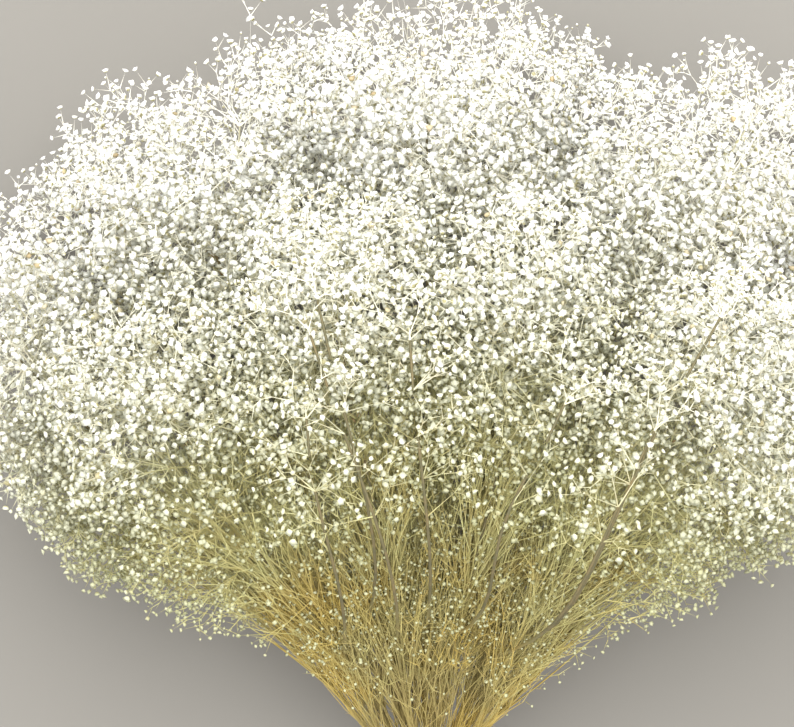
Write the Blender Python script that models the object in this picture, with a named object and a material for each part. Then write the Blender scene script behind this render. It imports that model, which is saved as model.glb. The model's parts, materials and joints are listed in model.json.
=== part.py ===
"""A bunch of dried gypsophila, lying on a surface: thirteen flowering stems, gathered at a waist by wound twine.

Each stem is one body: a main axis, pairs of opposite branches, and twigs that leave each branch, all with a bloom
at the end. The bunch lies along +Y with its cut ends at -Y, and +Z is up. Every length is in metres.
"""

import math
import random

import bmesh
import bpy
from mathutils import Matrix, Vector

# The waist is the point that all the stems fan out from. The tie is wound just below it.
WAIST = Vector((-0.0033, -0.1367, 0.060))
BUNDLE_PITCH = math.radians(17.5)
BUNDLE_AXIS = Vector((0, math.cos(BUNDLE_PITCH), math.sin(BUNDLE_PITCH)))
BUNDLE_SIDE = Vector((1, 0, 0))
BUNDLE_UP = BUNDLE_SIDE.cross(BUNDLE_AXIS)
TIE_BELOW_WAIST = 0.014
TIE_HALF_WIDTH = 0.006
CUT_BELOW_WAIST = 0.178

# Stems are packed in the tie like a stack of rods, and splay a little towards their cut ends.
STEM_RADIUS = 0.0018
STEM_TIP_RADIUS = 0.0014
STEM_GAP = 0.0003
STEM_PITCH = 2 * STEM_RADIUS + STEM_GAP
ROW_PITCH = STEM_PITCH * math.sqrt(3) / 2
END_SPLAY = 1.5
END_UNEVENNESS = 0.010
BEND_ABOVE_WAIST = 0.035
BEND_SPLAY = 2.2
STEM_STEPS = 6

# Rows of the fan, lowest first: elevation, azimuths from left to right in degrees, and share of the full reach.
FAN_ROWS = (
    (-2, (-32, -10, 11, 33), 1.00),
    (13, (-42, -21, 0, 22, 42), 1.00),
    (28, (-32, -10, 11, 32), 0.84),
)

# How far the blooms reach from the waist, at azimuths across the fan in degrees: a tall middle and two shoulders.
REACH = (
    (-56, 0.260),
    (-48, 0.385),
    (-38, 0.440),
    (-22, 0.445),
    (-16, 0.424),
    (-13, 0.464),
    (14, 0.462),
    (17, 0.432),
    (27, 0.472),
    (38, 0.450),
    (48, 0.380),
    (56, 0.250),
)
DOME = 0.08

# The fan's two side edges: their azimuth at the waist, and by how many degrees they spread in each metre from it.
EDGE_AZIMUTH = 34
EDGE_SPREAD = 70
NEAREST_BLOOM = 0.22
OUTWARD_BIAS = 0.45

# Each stem keeps to its own wedge of the fan. Its line ends short of the reach, and a bloom tops it.
WEDGE_AZIMUTH = 12
WEDGE_ELEVATION = 9
WEDGE_MARGIN = 0.0060
STEM_SHARE = 0.84
TOP_TWIG = 0.045
END_OVERLAP = 0.003

# Blooms are drawn larger than life, so that they cover the head as the thousands of small florets do.
BLOOMS_PER_STEM = 40
BLOOMS_PER_BRANCH = 5
BLOOM_RADIUS = 0.0115
BLOOM_DEPTH = 0.0100
CROWN_HEIGHT = 0.0030
LOWEST_BLOOM = 0.0045
PETALS = 5
TWIG_RADIUS = 0.00065
TWIG_SIDES = 3
BRANCH_RADIUS = 0.0011
BRANCH_SIDES = 4

# Branches leave the stem, and twigs their branch, leaning forward at this angle.
FORK_ANGLE = math.radians(38)
FIRST_FORK = 0.060
LAST_BRANCH = 0.9
FIRST_TWIG = 0.25
LAST_TWIG = 0.82
SHORTEST_TWIG = 0.020
CLEARANCE = 0.0012
DRAW_BACK = 0.06
DRAW_BACK_STEPS = 10
HALF_WAY = 0.5
TRIES = 60

# The twine is wound like a belt round the outer stems, and its two ends stand out of the knot on top.
TWINE_RADIUS = 0.0011
TWINE_TURNS = 3
TWINE_GAP = 0.0002
POINTS_PER_TURN = 14
KNOT_RADIUS = 0.0034
KNOT_SHAPE = (1.0, 1.3, 0.7)
TWINE_END = ((0.0, 0.0, 0.0), (0.007, 0.002, 0.004), (0.014, 0.001, 0.006), (0.021, -0.003, 0.005))

STEM_COLOUR = (0.66, 0.58, 0.27, 1)
FLORET_COLOUR = (0.88, 0.88, 0.80, 1)
TWINE_COLOUR = (0.52, 0.40, 0.24, 1)
SMOOTH_BELOW = math.radians(40)
SEED = 15


def material(name, colour, roughness):
    made = bpy.data.materials.new(name)
    made.use_nodes = True
    shader = made.node_tree.nodes["Principled BSDF"]
    shader.inputs["Base Color"].default_value = colour
    shader.inputs["Roughness"].default_value = roughness
    shader.inputs["Metallic"].default_value = 0
    return made


def direction(azimuth, elevation):
    """The unit vector that leaves the waist at these angles, in degrees. Azimuth 0 is +Y, and +X is to the right."""
    a, e = math.radians(azimuth), math.radians(elevation)
    return Vector((math.sin(a) * math.cos(e), math.cos(a) * math.cos(e), math.sin(e)))


def reach(azimuth):
    """How far the blooms reach from the waist at this azimuth, eased between the driving values of REACH."""
    for (a0, r0), (a1, r1) in zip(REACH, REACH[1:]):
        if azimuth <= a1:
            t = max(0, (azimuth - a0) / (a1 - a0))
            return r0 + t * t * (3 - 2 * t) * (r1 - r0)
    return REACH[-1][1]


def bundle_point(along, side, up):
    """A point in the bundle's own frame: along its axis from the waist, and across it."""
    return WAIST + along * BUNDLE_AXIS + side * BUNDLE_SIDE + up * BUNDLE_UP


def plan_stems():
    """One entry for each stem: where it stands in the bundle, which way it leaves the waist, and its reach."""
    stems = []
    for row, (elevation, azimuths, share) in enumerate(FAN_ROWS):
        for column, azimuth in enumerate(azimuths):
            stems.append(
                {
                    "name": f"flower_stem_{len(stems) + 1:02d}",
                    "side": (column - (len(azimuths) - 1) / 2) * STEM_PITCH,
                    "up": (row - 1) * ROW_PITCH,
                    "azimuth": azimuth,
                    "elevation": elevation,
                    "share": share,
                    "way": direction(azimuth, elevation),
                }
            )
    return stems


def stem_line(stem, rng):
    """The stem's centreline: from its cut end, straight through the tie, then bending out along its own way."""
    side, up = stem["side"], stem["up"]
    end = bundle_point(-CUT_BELOW_WAIST + rng.uniform(0, END_UNEVENNESS), side * END_SPLAY, up * END_SPLAY)
    below = bundle_point(-TIE_BELOW_WAIST - TIE_HALF_WIDTH, side, up)
    above = bundle_point(-TIE_BELOW_WAIST + TIE_HALF_WIDTH, side, up)
    bend = bundle_point(BEND_ABOVE_WAIST, side * BEND_SPLAY, up * BEND_SPLAY)
    tip = WAIST + STEM_SHARE * stem["share"] * reach(stem["azimuth"]) * stem["way"]
    line = [end, below, above]
    for i in range(1, STEM_STEPS + 1):
        t = i / STEM_STEPS
        line.append((1 - t) ** 2 * above + 2 * t * (1 - t) * bend + t * t * tip)
    return line


def room(place, stem, stems):
    """How far this place is inside the stem's own wedge of the fan, from the nearest face of the wedge."""
    from_waist = place - WAIST
    return min(from_waist.dot((stem["way"] - other["way"]).normalized()) for other in stems if other is not stem)


def nearest_on(place, a, b):
    """The point of the straight line from a to b that is nearest to the place, and its share of the way along."""
    along = b - a
    share = min(1, max(0, (place - a).dot(along) / along.length_squared))
    return a + share * along, share


def is_clear(place, sticks, margin):
    """Whether a bloom at this place, with the margin round it, is clear of all these straight sticks."""
    return all((place - nearest_on(place, a, b)[0]).length > BLOOM_RADIUS + margin for a, b in sticks)


def bloom_places(stem, stems, taken, rng):
    """Spreads the stem's blooms through its wedge, each one as far as it can be from those already placed.

    What would hang below the surface is pressed up on to it.
    """
    places = []
    trunk = list(zip(stem["line"], stem["line"][1:]))
    while len(places) < BLOOMS_PER_STEM:
        tries = []
        for _ in range(TRIES):
            across, above = rng.uniform(-1, 1), rng.uniform(-1, 1)
            azimuth = stem["azimuth"] + across * WEDGE_AZIMUTH
            elevation = stem["elevation"] + above * WEDGE_ELEVATION
            outer = reach(azimuth) * stem["share"] * (1 - DOME * (across**2 + above**2)) - BLOOM_DEPTH
            share = NEAREST_BLOOM + (1 - NEAREST_BLOOM) * rng.random() ** OUTWARD_BIAS
            place = WAIST + outer * share * direction(azimuth, elevation)
            place.z = max(place.z, LOWEST_BLOOM)
            within = abs(azimuth) < EDGE_AZIMUTH + EDGE_SPREAD * outer * share
            if within and room(place, stem, stems) > WEDGE_MARGIN and is_clear(place, trunk, STEM_RADIUS):
                tries.append(place)
        if tries:
            best = max(tries, key=lambda p: min(((p - q).length for q in taken), default=1))
            places.append(best)
            taken.append(best)
    return places


def halves(places):
    """Splits the places in two across the way in which they spread most."""
    widest = max(range(3), key=lambda k: max(p[k] for p in places) - min(p[k] for p in places))
    ordered = sorted(places, key=lambda p: p[widest])
    return ordered[: len(ordered) // 2], ordered[len(ordered) // 2 :]


def fork_share(place, a, b, first, last):
    """Where a twig to this place leaves the line from a to b, as a share of it, to lean forward by FORK_ANGLE."""
    near, share = nearest_on(place, a, b)
    back = max(SHORTEST_TWIG, (place - near).length / math.tan(FORK_ANGLE))
    return min(last, max(first, share - back / (b - a).length))


def plan_branches(line, places):
    """Pairs of opposite branches. Each has its root on the stem, the bloom at its tip, and twigs along it."""
    start = next(p for p in line if (p - WAIST).length > FIRST_FORK and p.y > WAIST.y)
    branches = []
    ordered = sorted(places, key=lambda p: (p - WAIST).length)
    for i in range(0, len(ordered), 2 * BLOOMS_PER_BRANCH):
        for blooms in halves(ordered[i : i + 2 * BLOOMS_PER_BRANCH]):
            if not blooms:
                continue
            middle = sum(blooms, Vector()) / len(blooms)
            root = start.lerp(line[-1], fork_share(middle, start, line[-1], 0, LAST_BRANCH))
            feet = [nearest_on(root, a, b)[0] for a, b in zip(line, line[1:])]
            root = min(feet, key=lambda p: (p - root).length)
            tip = max(blooms, key=lambda p: (p - root).length)
            blooms.remove(tip)
            twigs = [(fork_share(place, root, tip, FIRST_TWIG, LAST_TWIG), place) for place in blooms]
            twigs = [(share, p) for share, p in twigs if (p - root.lerp(tip, share)).length > SHORTEST_TWIG]
            branches.append({"root": root, "tip": tip, "twigs": twigs})
    return branches


def sticks_of(branch):
    """The branch and its twigs as straight lines, each from its foot to its bloom."""
    root, tip = branch["root"], branch["tip"]
    return [(root, tip)] + [(root.lerp(tip, share), place) for share, place in branch["twigs"]]


def drawn_back(foot, place, sticks, blooms):
    """The place of a bloom, drawn back towards its foot until it is clear of these sticks and blooms, or None."""
    for step in range(DRAW_BACK_STEPS):
        moved = place.lerp(foot, step * DRAW_BACK)
        apart = all((moved - other).length > 2 * BLOOM_RADIUS + CLEARANCE for other in blooms)
        if apart and is_clear(moved, sticks, CLEARANCE):
            return moved
    return None


def make_clear(own, stems):
    """Draws back the blooms of one branch until they are clear of everything that isn't on this branch."""
    sticks = []
    blooms = []
    for stem in stems:
        sticks.extend(zip(stem["line"], stem["line"][1:]))
        for branch in stem["branches"]:
            if branch is not own:
                found = sticks_of(branch)
                sticks.extend(found)
                blooms.extend(place for foot, place in found)
    tip = drawn_back(own["root"], own["tip"], sticks, blooms)
    own["tip"] = tip or own["tip"].lerp(own["root"], HALF_WAY)
    kept = []
    for share, place in own["twigs"]:
        foot = own["root"].lerp(own["tip"], share)
        moved = drawn_back(foot, place, sticks, blooms)
        if moved and (moved - foot).length > SHORTEST_TWIG:
            kept.append((share, moved))
    own["twigs"] = kept


def grow(stems):
    """Plans every stem's line and branches, and clears each bloom of all that isn't on its own branch."""
    taken = []
    for stem in stems:
        rng = random.Random(f"{SEED}-{stem['name']}")
        stem["line"] = stem_line(stem, rng)
        stem["branches"] = plan_branches(stem["line"], bloom_places(stem, stems, taken, rng))
        end = stem["line"][-1]
        top = {"root": end - END_OVERLAP * stem["way"], "tip": end + TOP_TWIG * stem["way"], "twigs": []}
        stem["branches"].append(top)
    for stem in stems:
        for branch in stem["branches"]:
            make_clear(branch, stems)


def mesh_of(obj, name):
    """The object as its modifiers or its bevel leave it, as a mesh with its caps joined on."""
    graph = bpy.context.evaluated_depsgraph_get()
    mesh = bpy.data.meshes.new_from_object(obj.evaluated_get(graph))
    mesh.name = name
    shape = bmesh.new()
    shape.from_mesh(mesh)
    bmesh.ops.remove_doubles(shape, verts=shape.verts, dist=1e-6)
    bmesh.ops.recalc_face_normals(shape, faces=shape.faces)
    shape.to_mesh(mesh)
    shape.free()
    return mesh


def tube(name, points, radii, resolution, finish):
    """A closed tube through the points, as a mesh. Its radius goes from the first of radii to the second."""
    curve = bpy.data.curves.new(name, "CURVE")
    curve.dimensions = "3D"
    curve.bevel_depth = 1
    curve.bevel_resolution = resolution
    curve.use_fill_caps = True
    curve.materials.append(finish)
    spline = curve.splines.new("POLY")
    spline.points.add(len(points) - 1)
    for i, point in enumerate(points):
        share = i / (len(points) - 1)
        spline.points[i].co = (*point, 1)
        spline.points[i].radius = radii[0] + share * (radii[1] - radii[0])
    drawn = bpy.data.objects.new(name, curve)
    bpy.context.scene.collection.objects.link(drawn)
    mesh = mesh_of(drawn, name)
    bpy.data.objects.remove(drawn)
    bpy.data.curves.remove(curve)
    return mesh


def bloom(root, place, turn, sides, radius, finishes):
    """A bloom on its twig: a loft from the twig to the tips of its five petals, and a raised crown."""
    way = (place - root).normalized()
    side = way.orthogonal().normalized()
    other = way.cross(side)

    def ring(along, around, count):
        corners = []
        for i in range(count):
            angle = turn + math.tau * i / count
            corners.append(root + way * along + around * (math.cos(angle) * side + math.sin(angle) * other))
        return corners

    length = (place - root).length
    shape = bmesh.new()
    rings = (
        ring(0, radius, sides),
        ring(length - BLOOM_DEPTH, radius, sides),
        ring(length, BLOOM_RADIUS, PETALS),
    )
    foot, neck, rim = ([shape.verts.new(corner) for corner in corners] for corners in rings)
    crown = shape.verts.new(root + way * (length + CROWN_HEIGHT))
    shape.faces.new(reversed(foot))
    for i in range(sides):
        j = (i + 1) % sides
        shape.faces.new((foot[i], foot[j], neck[j], neck[i]))
    for i in range(PETALS):
        j = (i + 1) % PETALS
        near, following = (round(k * sides / PETALS) % sides for k in (i, i + 1))
        petal = [shape.faces.new((crown, rim[i], rim[j])), shape.faces.new((neck[near], rim[j], rim[i]))]
        if near != following:
            petal.append(shape.faces.new((neck[near], neck[following], rim[j])))
        for face in petal:
            face.material_index = 1
    bmesh.ops.recalc_face_normals(shape, faces=shape.faces)
    mesh = bpy.data.meshes.new("bloom")
    shape.to_mesh(mesh)
    shape.free()
    for finish in finishes:
        mesh.materials.append(finish)
    return mesh


def placed(name, mesh, collection):
    made = bpy.data.objects.new(name, mesh)
    collection.objects.link(made)
    return made


def floor_cutter(collection):
    """A block just under the surface. It presses a flat spot on whatever the bunch rests on."""
    block = bmesh.new()
    bmesh.ops.create_cube(block, size=1)
    mesh = bpy.data.meshes.new("floor_cutter")
    block.to_mesh(mesh)
    block.free()
    cutter = placed("floor_cutter", mesh, collection)
    cutter.location = (0, 0, -0.5)
    cutter.hide_render = True
    cutter.display_type = "WIRE"
    return cutter


def fused(name, trunk, pieces, collection, cutter=None):
    """The trunk joined with all its pieces in one Boolean union, and cut flat where it meets the surface."""
    joined = bpy.data.collections.new(name + "_pieces")
    bpy.context.scene.collection.children.link(joined)
    for piece in pieces:
        placed(f"{name}_piece", piece, joined)
    base = placed(name + "_base", trunk, bpy.context.scene.collection)
    union = base.modifiers.new("join", "BOOLEAN")
    union.operation = "UNION"
    union.operand_type = "COLLECTION"
    union.collection = joined
    union.solver = "EXACT"
    union.material_mode = "TRANSFER"
    if cutter:
        flat = base.modifiers.new("rest", "BOOLEAN")
        flat.operation = "DIFFERENCE"
        flat.object = cutter
        flat.solver = "EXACT"
    mesh = mesh_of(base, name)
    bpy.data.objects.remove(base)
    for piece in list(joined.objects):
        bpy.data.objects.remove(piece)
    bpy.data.collections.remove(joined)
    mesh.shade_smooth()
    mesh.set_sharp_from_angle(angle=SMOOTH_BELOW)
    return placed(name, mesh, collection)


def flower_stem(stem, collection, cutter, finishes):
    """One stem of the bunch, with its branches and blooms, as one body."""
    rng = random.Random(f"{SEED}-turn-{stem['name']}")
    trunk = tube(stem["name"], stem["line"], (STEM_RADIUS, STEM_TIP_RADIUS), 1, finishes[0])
    pieces = []
    for branch in stem["branches"]:
        for i, (foot, place) in enumerate(sticks_of(branch)):
            sides, radius = (TWIG_SIDES, TWIG_RADIUS) if i else (BRANCH_SIDES, BRANCH_RADIUS)
            pieces.append(bloom(foot, place, rng.uniform(0, math.tau), sides, radius, finishes))
    return fused(stem["name"], trunk, pieces, collection, cutter)


def belt_point(angle, along, stems):
    """The twine's centreline, at this angle round the bundle, where it bears on the stem that stands out most."""
    across, up = math.cos(angle), math.sin(angle)
    outer = max(stems, key=lambda stem: stem["side"] * across + stem["up"] * up)
    around = STEM_RADIUS + STEM_GAP + TWINE_RADIUS
    return bundle_point(along, outer["side"] + around * across, outer["up"] + around * up)


def twine_tie(stems, collection, finish):
    """Twine wound round the bundle, a knot on top of it, and the two ends of the twine."""
    step = 2 * TWINE_RADIUS + TWINE_GAP
    points = []
    for i in range(TWINE_TURNS * POINTS_PER_TURN + 1):
        turn = i / POINTS_PER_TURN
        angle = math.pi / 2 + math.tau * turn
        points.append(belt_point(angle, step * (turn - TWINE_TURNS / 2) - TIE_BELOW_WAIST, stems))
    trunk = tube("twine", points, (TWINE_RADIUS, TWINE_RADIUS), 1, finish)
    top = belt_point(math.pi / 2, -TIE_BELOW_WAIST, stems)
    knot_place = top + (TWINE_RADIUS - STEM_GAP) * BUNDLE_UP
    turned = Matrix((BUNDLE_SIDE, BUNDLE_AXIS, BUNDLE_UP)).transposed()
    shape = Matrix.LocRotScale(knot_place, turned.to_quaternion(), KNOT_SHAPE)
    lump = bmesh.new()
    bmesh.ops.create_uvsphere(lump, u_segments=8, v_segments=6, radius=KNOT_RADIUS, matrix=shape)
    knot = bpy.data.meshes.new("knot")
    lump.to_mesh(knot)
    lump.free()
    knot.materials.append(finish)
    pieces = [knot]
    for way in (-1, 1):
        route = [knot_place + turned @ Vector((way * x, way * y, z)) for x, y, z in TWINE_END]
        pieces.append(tube("twine_end", route, (TWINE_RADIUS, TWINE_RADIUS), 1, finish))
    return fused("twine_tie", trunk, pieces, collection)


def build():
    for old in list(bpy.data.objects):
        bpy.data.objects.remove(old)
    bunch = bpy.data.collections.new("gypsophila_bunch")
    cutters = bpy.data.collections.new("cutters")
    bpy.context.scene.collection.children.link(bunch)
    bpy.context.scene.collection.children.link(cutters)
    cutter = floor_cutter(cutters)
    finishes = (material("dried_stem", STEM_COLOUR, 0.7), material("dried_floret", FLORET_COLOUR, 0.85))
    twine = material("twine", TWINE_COLOUR, 0.9)
    stems = plan_stems()
    grow(stems)
    for stem in stems:
        flower_stem(stem, bunch, cutter, finishes)
    twine_tie(stems, bunch, twine)


build()
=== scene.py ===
# %% [markdown]
# # A dried gypsophila bunch
#
# Thirteen flowering stems are tied with twine and lie on a table. The solid model draws each stem with up
# to forty large blooms. Here every bloom becomes what it stands for: a small cluster of florets on
# hair-thin forking stalks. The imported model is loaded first, and stays the frame that everything else is
# placed in.

# %% Load the frame
import json
import math
import random

import bmesh
import bpy
from mathutils import Matrix, Quaternion, Vector

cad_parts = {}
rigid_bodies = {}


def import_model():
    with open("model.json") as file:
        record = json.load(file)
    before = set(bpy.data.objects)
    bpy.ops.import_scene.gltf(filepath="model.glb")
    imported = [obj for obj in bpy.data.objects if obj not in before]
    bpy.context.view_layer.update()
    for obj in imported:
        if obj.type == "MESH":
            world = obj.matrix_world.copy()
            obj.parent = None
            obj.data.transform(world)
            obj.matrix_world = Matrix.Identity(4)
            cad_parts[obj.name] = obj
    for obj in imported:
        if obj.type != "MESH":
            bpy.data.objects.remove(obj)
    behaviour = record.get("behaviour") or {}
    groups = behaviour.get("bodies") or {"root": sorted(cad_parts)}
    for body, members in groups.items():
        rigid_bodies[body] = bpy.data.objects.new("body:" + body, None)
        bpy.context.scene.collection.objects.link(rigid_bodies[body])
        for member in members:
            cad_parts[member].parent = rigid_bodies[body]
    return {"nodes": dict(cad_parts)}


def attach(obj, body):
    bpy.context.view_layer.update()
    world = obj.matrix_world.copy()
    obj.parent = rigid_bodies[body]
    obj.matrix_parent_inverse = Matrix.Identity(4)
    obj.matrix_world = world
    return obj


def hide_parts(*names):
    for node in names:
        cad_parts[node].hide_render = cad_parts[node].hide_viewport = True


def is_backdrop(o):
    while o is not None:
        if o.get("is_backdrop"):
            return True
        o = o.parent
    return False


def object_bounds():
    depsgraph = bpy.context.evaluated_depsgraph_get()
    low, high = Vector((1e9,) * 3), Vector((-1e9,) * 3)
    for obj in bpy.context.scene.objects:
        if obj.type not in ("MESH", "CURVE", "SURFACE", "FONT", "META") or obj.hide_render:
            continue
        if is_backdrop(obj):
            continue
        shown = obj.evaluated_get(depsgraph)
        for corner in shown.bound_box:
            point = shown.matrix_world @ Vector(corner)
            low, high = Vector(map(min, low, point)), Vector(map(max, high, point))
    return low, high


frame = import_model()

CAD_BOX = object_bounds()
STEM_NODES = sorted(name for name in frame["nodes"] if name.startswith("flower_stem"))
print("stems in the frame:", len(STEM_NODES))

# %% [markdown]
# ## The plan of the bunch
#
# The stems fan out from a waist, and the tie is wound just below it. The solid model follows a rule with
# a fixed seed, so the same rule gives the same lines here, and every fine stalk starts exactly where its
# solid branch does. Measuring the solids would give only their surfaces. The rule gives the lines inside
# them.

# %% Waist and bundle
WAIST = Vector((-0.0033, -0.1367, 0.060))
BUNDLE_PITCH = math.radians(17.5)
BUNDLE_AXIS = Vector((0, math.cos(BUNDLE_PITCH), math.sin(BUNDLE_PITCH)))
BUNDLE_SIDE = Vector((1, 0, 0))
BUNDLE_UP = BUNDLE_SIDE.cross(BUNDLE_AXIS)
TIE_BELOW_WAIST = 0.014
TIE_HALF_WIDTH = 0.006
CUT_BELOW_WAIST = 0.178
STEM_RADIUS = 0.0018
STEM_GAP = 0.0003
STEM_PITCH = 2 * STEM_RADIUS + STEM_GAP
ROW_PITCH = STEM_PITCH * math.sqrt(3) / 2
END_SPLAY = 1.5
END_UNEVENNESS = 0.010
BEND_ABOVE_WAIST = 0.035
BEND_SPLAY = 2.2
STEM_STEPS = 6


def bundle_point(along, side, up):
    """A point in the bundle's own frame: along its axis from the waist, and across it."""
    return WAIST + along * BUNDLE_AXIS + side * BUNDLE_SIDE + up * BUNDLE_UP


print("cut ends at y =", round(bundle_point(-CUT_BELOW_WAIST, 0, 0).y, 4))

# %% [markdown]
# ## The fan
#
# Seen from above, the stems spread like the ribs of a hand fan, in three rows over each other. The head
# has a tall middle and two shoulders, so its reach changes with the direction. A short table of
# directions and distances, eased between its entries, describes that outline better than any circle.

# %% Rows and outline of the fan
# Each row has its elevation in degrees, the azimuths of its stems, and its share of the full reach.
FAN_ROWS = (
    (-2, (-32, -10, 11, 33), 1.00),
    (13, (-42, -21, 0, 22, 42), 1.00),
    (28, (-32, -10, 11, 32), 0.84),
)
# The outline is given as azimuths in degrees, with the reach in metres at each.
REACH = (
    (-56, 0.260),
    (-48, 0.385),
    (-38, 0.440),
    (-22, 0.445),
    (-16, 0.424),
    (-13, 0.464),
    (14, 0.462),
    (17, 0.432),
    (27, 0.472),
    (38, 0.450),
    (48, 0.380),
    (56, 0.250),
)
DOME = 0.08
EDGE_AZIMUTH = 34
EDGE_SPREAD = 70
NEAREST_BLOOM = 0.22
OUTWARD_BIAS = 0.45
WEDGE_AZIMUTH = 12
WEDGE_ELEVATION = 9
WEDGE_MARGIN = 0.0060
STEM_SHARE = 0.84
TOP_TWIG = 0.045
END_OVERLAP = 0.003
SEED = 15


# %% Directions and reach


def direction(azimuth, elevation):
    """The unit vector that leaves the waist at these angles, in degrees."""
    a, e = math.radians(azimuth), math.radians(elevation)
    return Vector((math.sin(a) * math.cos(e), math.cos(a) * math.cos(e), math.sin(e)))


def reach(azimuth):
    """How far the blooms reach from the waist at this azimuth."""
    for (a0, r0), (a1, r1) in zip(REACH, REACH[1:]):
        if azimuth <= a1:
            t = max(0, (azimuth - a0) / (a1 - a0))
            return r0 + t * t * (3 - 2 * t) * (r1 - r0)
    return REACH[-1][1]


# %% Lines of the stems


def plan_stems():
    """One entry for each stem: its place in the bundle, its way out of the waist, and its reach."""
    stems = []
    for row, (elevation, azimuths, share) in enumerate(FAN_ROWS):
        for column, azimuth in enumerate(azimuths):
            stems.append(
                {
                    "name": f"flower_stem_{len(stems) + 1:02d}",
                    "side": (column - (len(azimuths) - 1) / 2) * STEM_PITCH,
                    "up": (row - 1) * ROW_PITCH,
                    "azimuth": azimuth,
                    "elevation": elevation,
                    "share": share,
                    "way": direction(azimuth, elevation),
                }
            )
    return stems


def curved(start, bend, end, t):
    """The point at share t of a curve that leaves its start towards the bend."""
    return (1 - t) ** 2 * start + 2 * t * (1 - t) * bend + t * t * end


def stem_line(stem, rng):
    """The stem's centreline: straight from its cut end through the tie, then bending out."""
    side, up = stem["side"], stem["up"]
    low = -CUT_BELOW_WAIST + rng.uniform(0, END_UNEVENNESS)
    end = bundle_point(low, side * END_SPLAY, up * END_SPLAY)
    below = bundle_point(-TIE_BELOW_WAIST - TIE_HALF_WIDTH, side, up)
    above = bundle_point(-TIE_BELOW_WAIST + TIE_HALF_WIDTH, side, up)
    bend = bundle_point(BEND_ABOVE_WAIST, side * BEND_SPLAY, up * BEND_SPLAY)
    tip = WAIST + STEM_SHARE * stem["share"] * reach(stem["azimuth"]) * stem["way"]
    steps = range(1, STEM_STEPS + 1)
    return [end, below, above] + [curved(above, bend, tip, i / STEM_STEPS) for i in steps]


print("stems planned:", len(plan_stems()), "reach straight ahead:", round(reach(0), 3))

# %% [markdown]
# ## Where the blooms grow
#
# Each stem fills its own wedge of the fan. Candidate places are drawn at random, and the one farthest
# from all the others is kept, which spreads the blooms evenly without a grid. What would hang below the
# table is pressed up on to it.

# %% Bloom places
BLOOMS_PER_STEM = 40
BLOOM_RADIUS = 0.0115
BLOOM_DEPTH = 0.0100
LOWEST_BLOOM = 0.0045
TRIES = 60


def room(place, stem, stems):
    """How far this place is inside the stem's own wedge of the fan."""
    from_waist = place - WAIST
    ways = [other["way"] for other in stems if other is not stem]
    return min(from_waist.dot((stem["way"] - way).normalized()) for way in ways)


def nearest_on(place, a, b):
    """The point of the line from a to b nearest to the place, and its share of the way along."""
    along = b - a
    share = min(1, max(0, (place - a).dot(along) / along.length_squared))
    return a + share * along, share


def is_clear(place, sticks, margin):
    """Whether a bloom at this place is clear of all these straight sticks."""
    return all((place - nearest_on(place, a, b)[0]).length > BLOOM_RADIUS + margin for a, b in sticks)


print("blooms on a stem, before any is drawn back:", BLOOMS_PER_STEM)

# %% Spreading the blooms


def bloom_places(stem, stems, taken, rng):
    """Spreads the stem's blooms through its wedge, each one as far as possible from those before it."""
    places = []
    trunk = list(zip(stem["line"], stem["line"][1:]))
    while len(places) < BLOOMS_PER_STEM:
        tries = []
        for _ in range(TRIES):
            across, above = rng.uniform(-1, 1), rng.uniform(-1, 1)
            azimuth = stem["azimuth"] + across * WEDGE_AZIMUTH
            elevation = stem["elevation"] + above * WEDGE_ELEVATION
            domed = 1 - DOME * (across**2 + above**2)
            outer = reach(azimuth) * stem["share"] * domed - BLOOM_DEPTH
            share = NEAREST_BLOOM + (1 - NEAREST_BLOOM) * rng.random() ** OUTWARD_BIAS
            place = WAIST + outer * share * direction(azimuth, elevation)
            place.z = max(place.z, LOWEST_BLOOM)
            within = abs(azimuth) < EDGE_AZIMUTH + EDGE_SPREAD * outer * share
            if within and room(place, stem, stems) > WEDGE_MARGIN and is_clear(place, trunk, STEM_RADIUS):
                tries.append(place)
        if tries:
            best = max(tries, key=lambda p: min(((p - q).length for q in taken), default=1))
            places.append(best)
            taken.append(best)
    return places


# %% [markdown]
# ## Branches and twigs
#
# Gypsophila branches in opposite pairs. Each branch runs to its farthest bloom, and twigs leave it for
# the others, leaning forward. A bloom that would touch a neighbour's twig is drawn back towards its own
# foot.

# %% Branches and twigs
BLOOMS_PER_BRANCH = 5
FORK_ANGLE = math.radians(38)
FIRST_FORK = 0.060
LAST_BRANCH = 0.9
FIRST_TWIG = 0.25
LAST_TWIG = 0.82
SHORTEST_TWIG = 0.020


def halves(places):
    """Splits the places in two across the way in which they spread most."""
    widest = max(range(3), key=lambda k: max(p[k] for p in places) - min(p[k] for p in places))
    ordered = sorted(places, key=lambda p: p[widest])
    return ordered[: len(ordered) // 2], ordered[len(ordered) // 2 :]


def fork_share(place, a, b, first, last):
    """Where a twig to this place leaves the line from a to b, as a share of it."""
    near, share = nearest_on(place, a, b)
    back = max(SHORTEST_TWIG, (place - near).length / math.tan(FORK_ANGLE))
    return min(last, max(first, share - back / (b - a).length))


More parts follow.
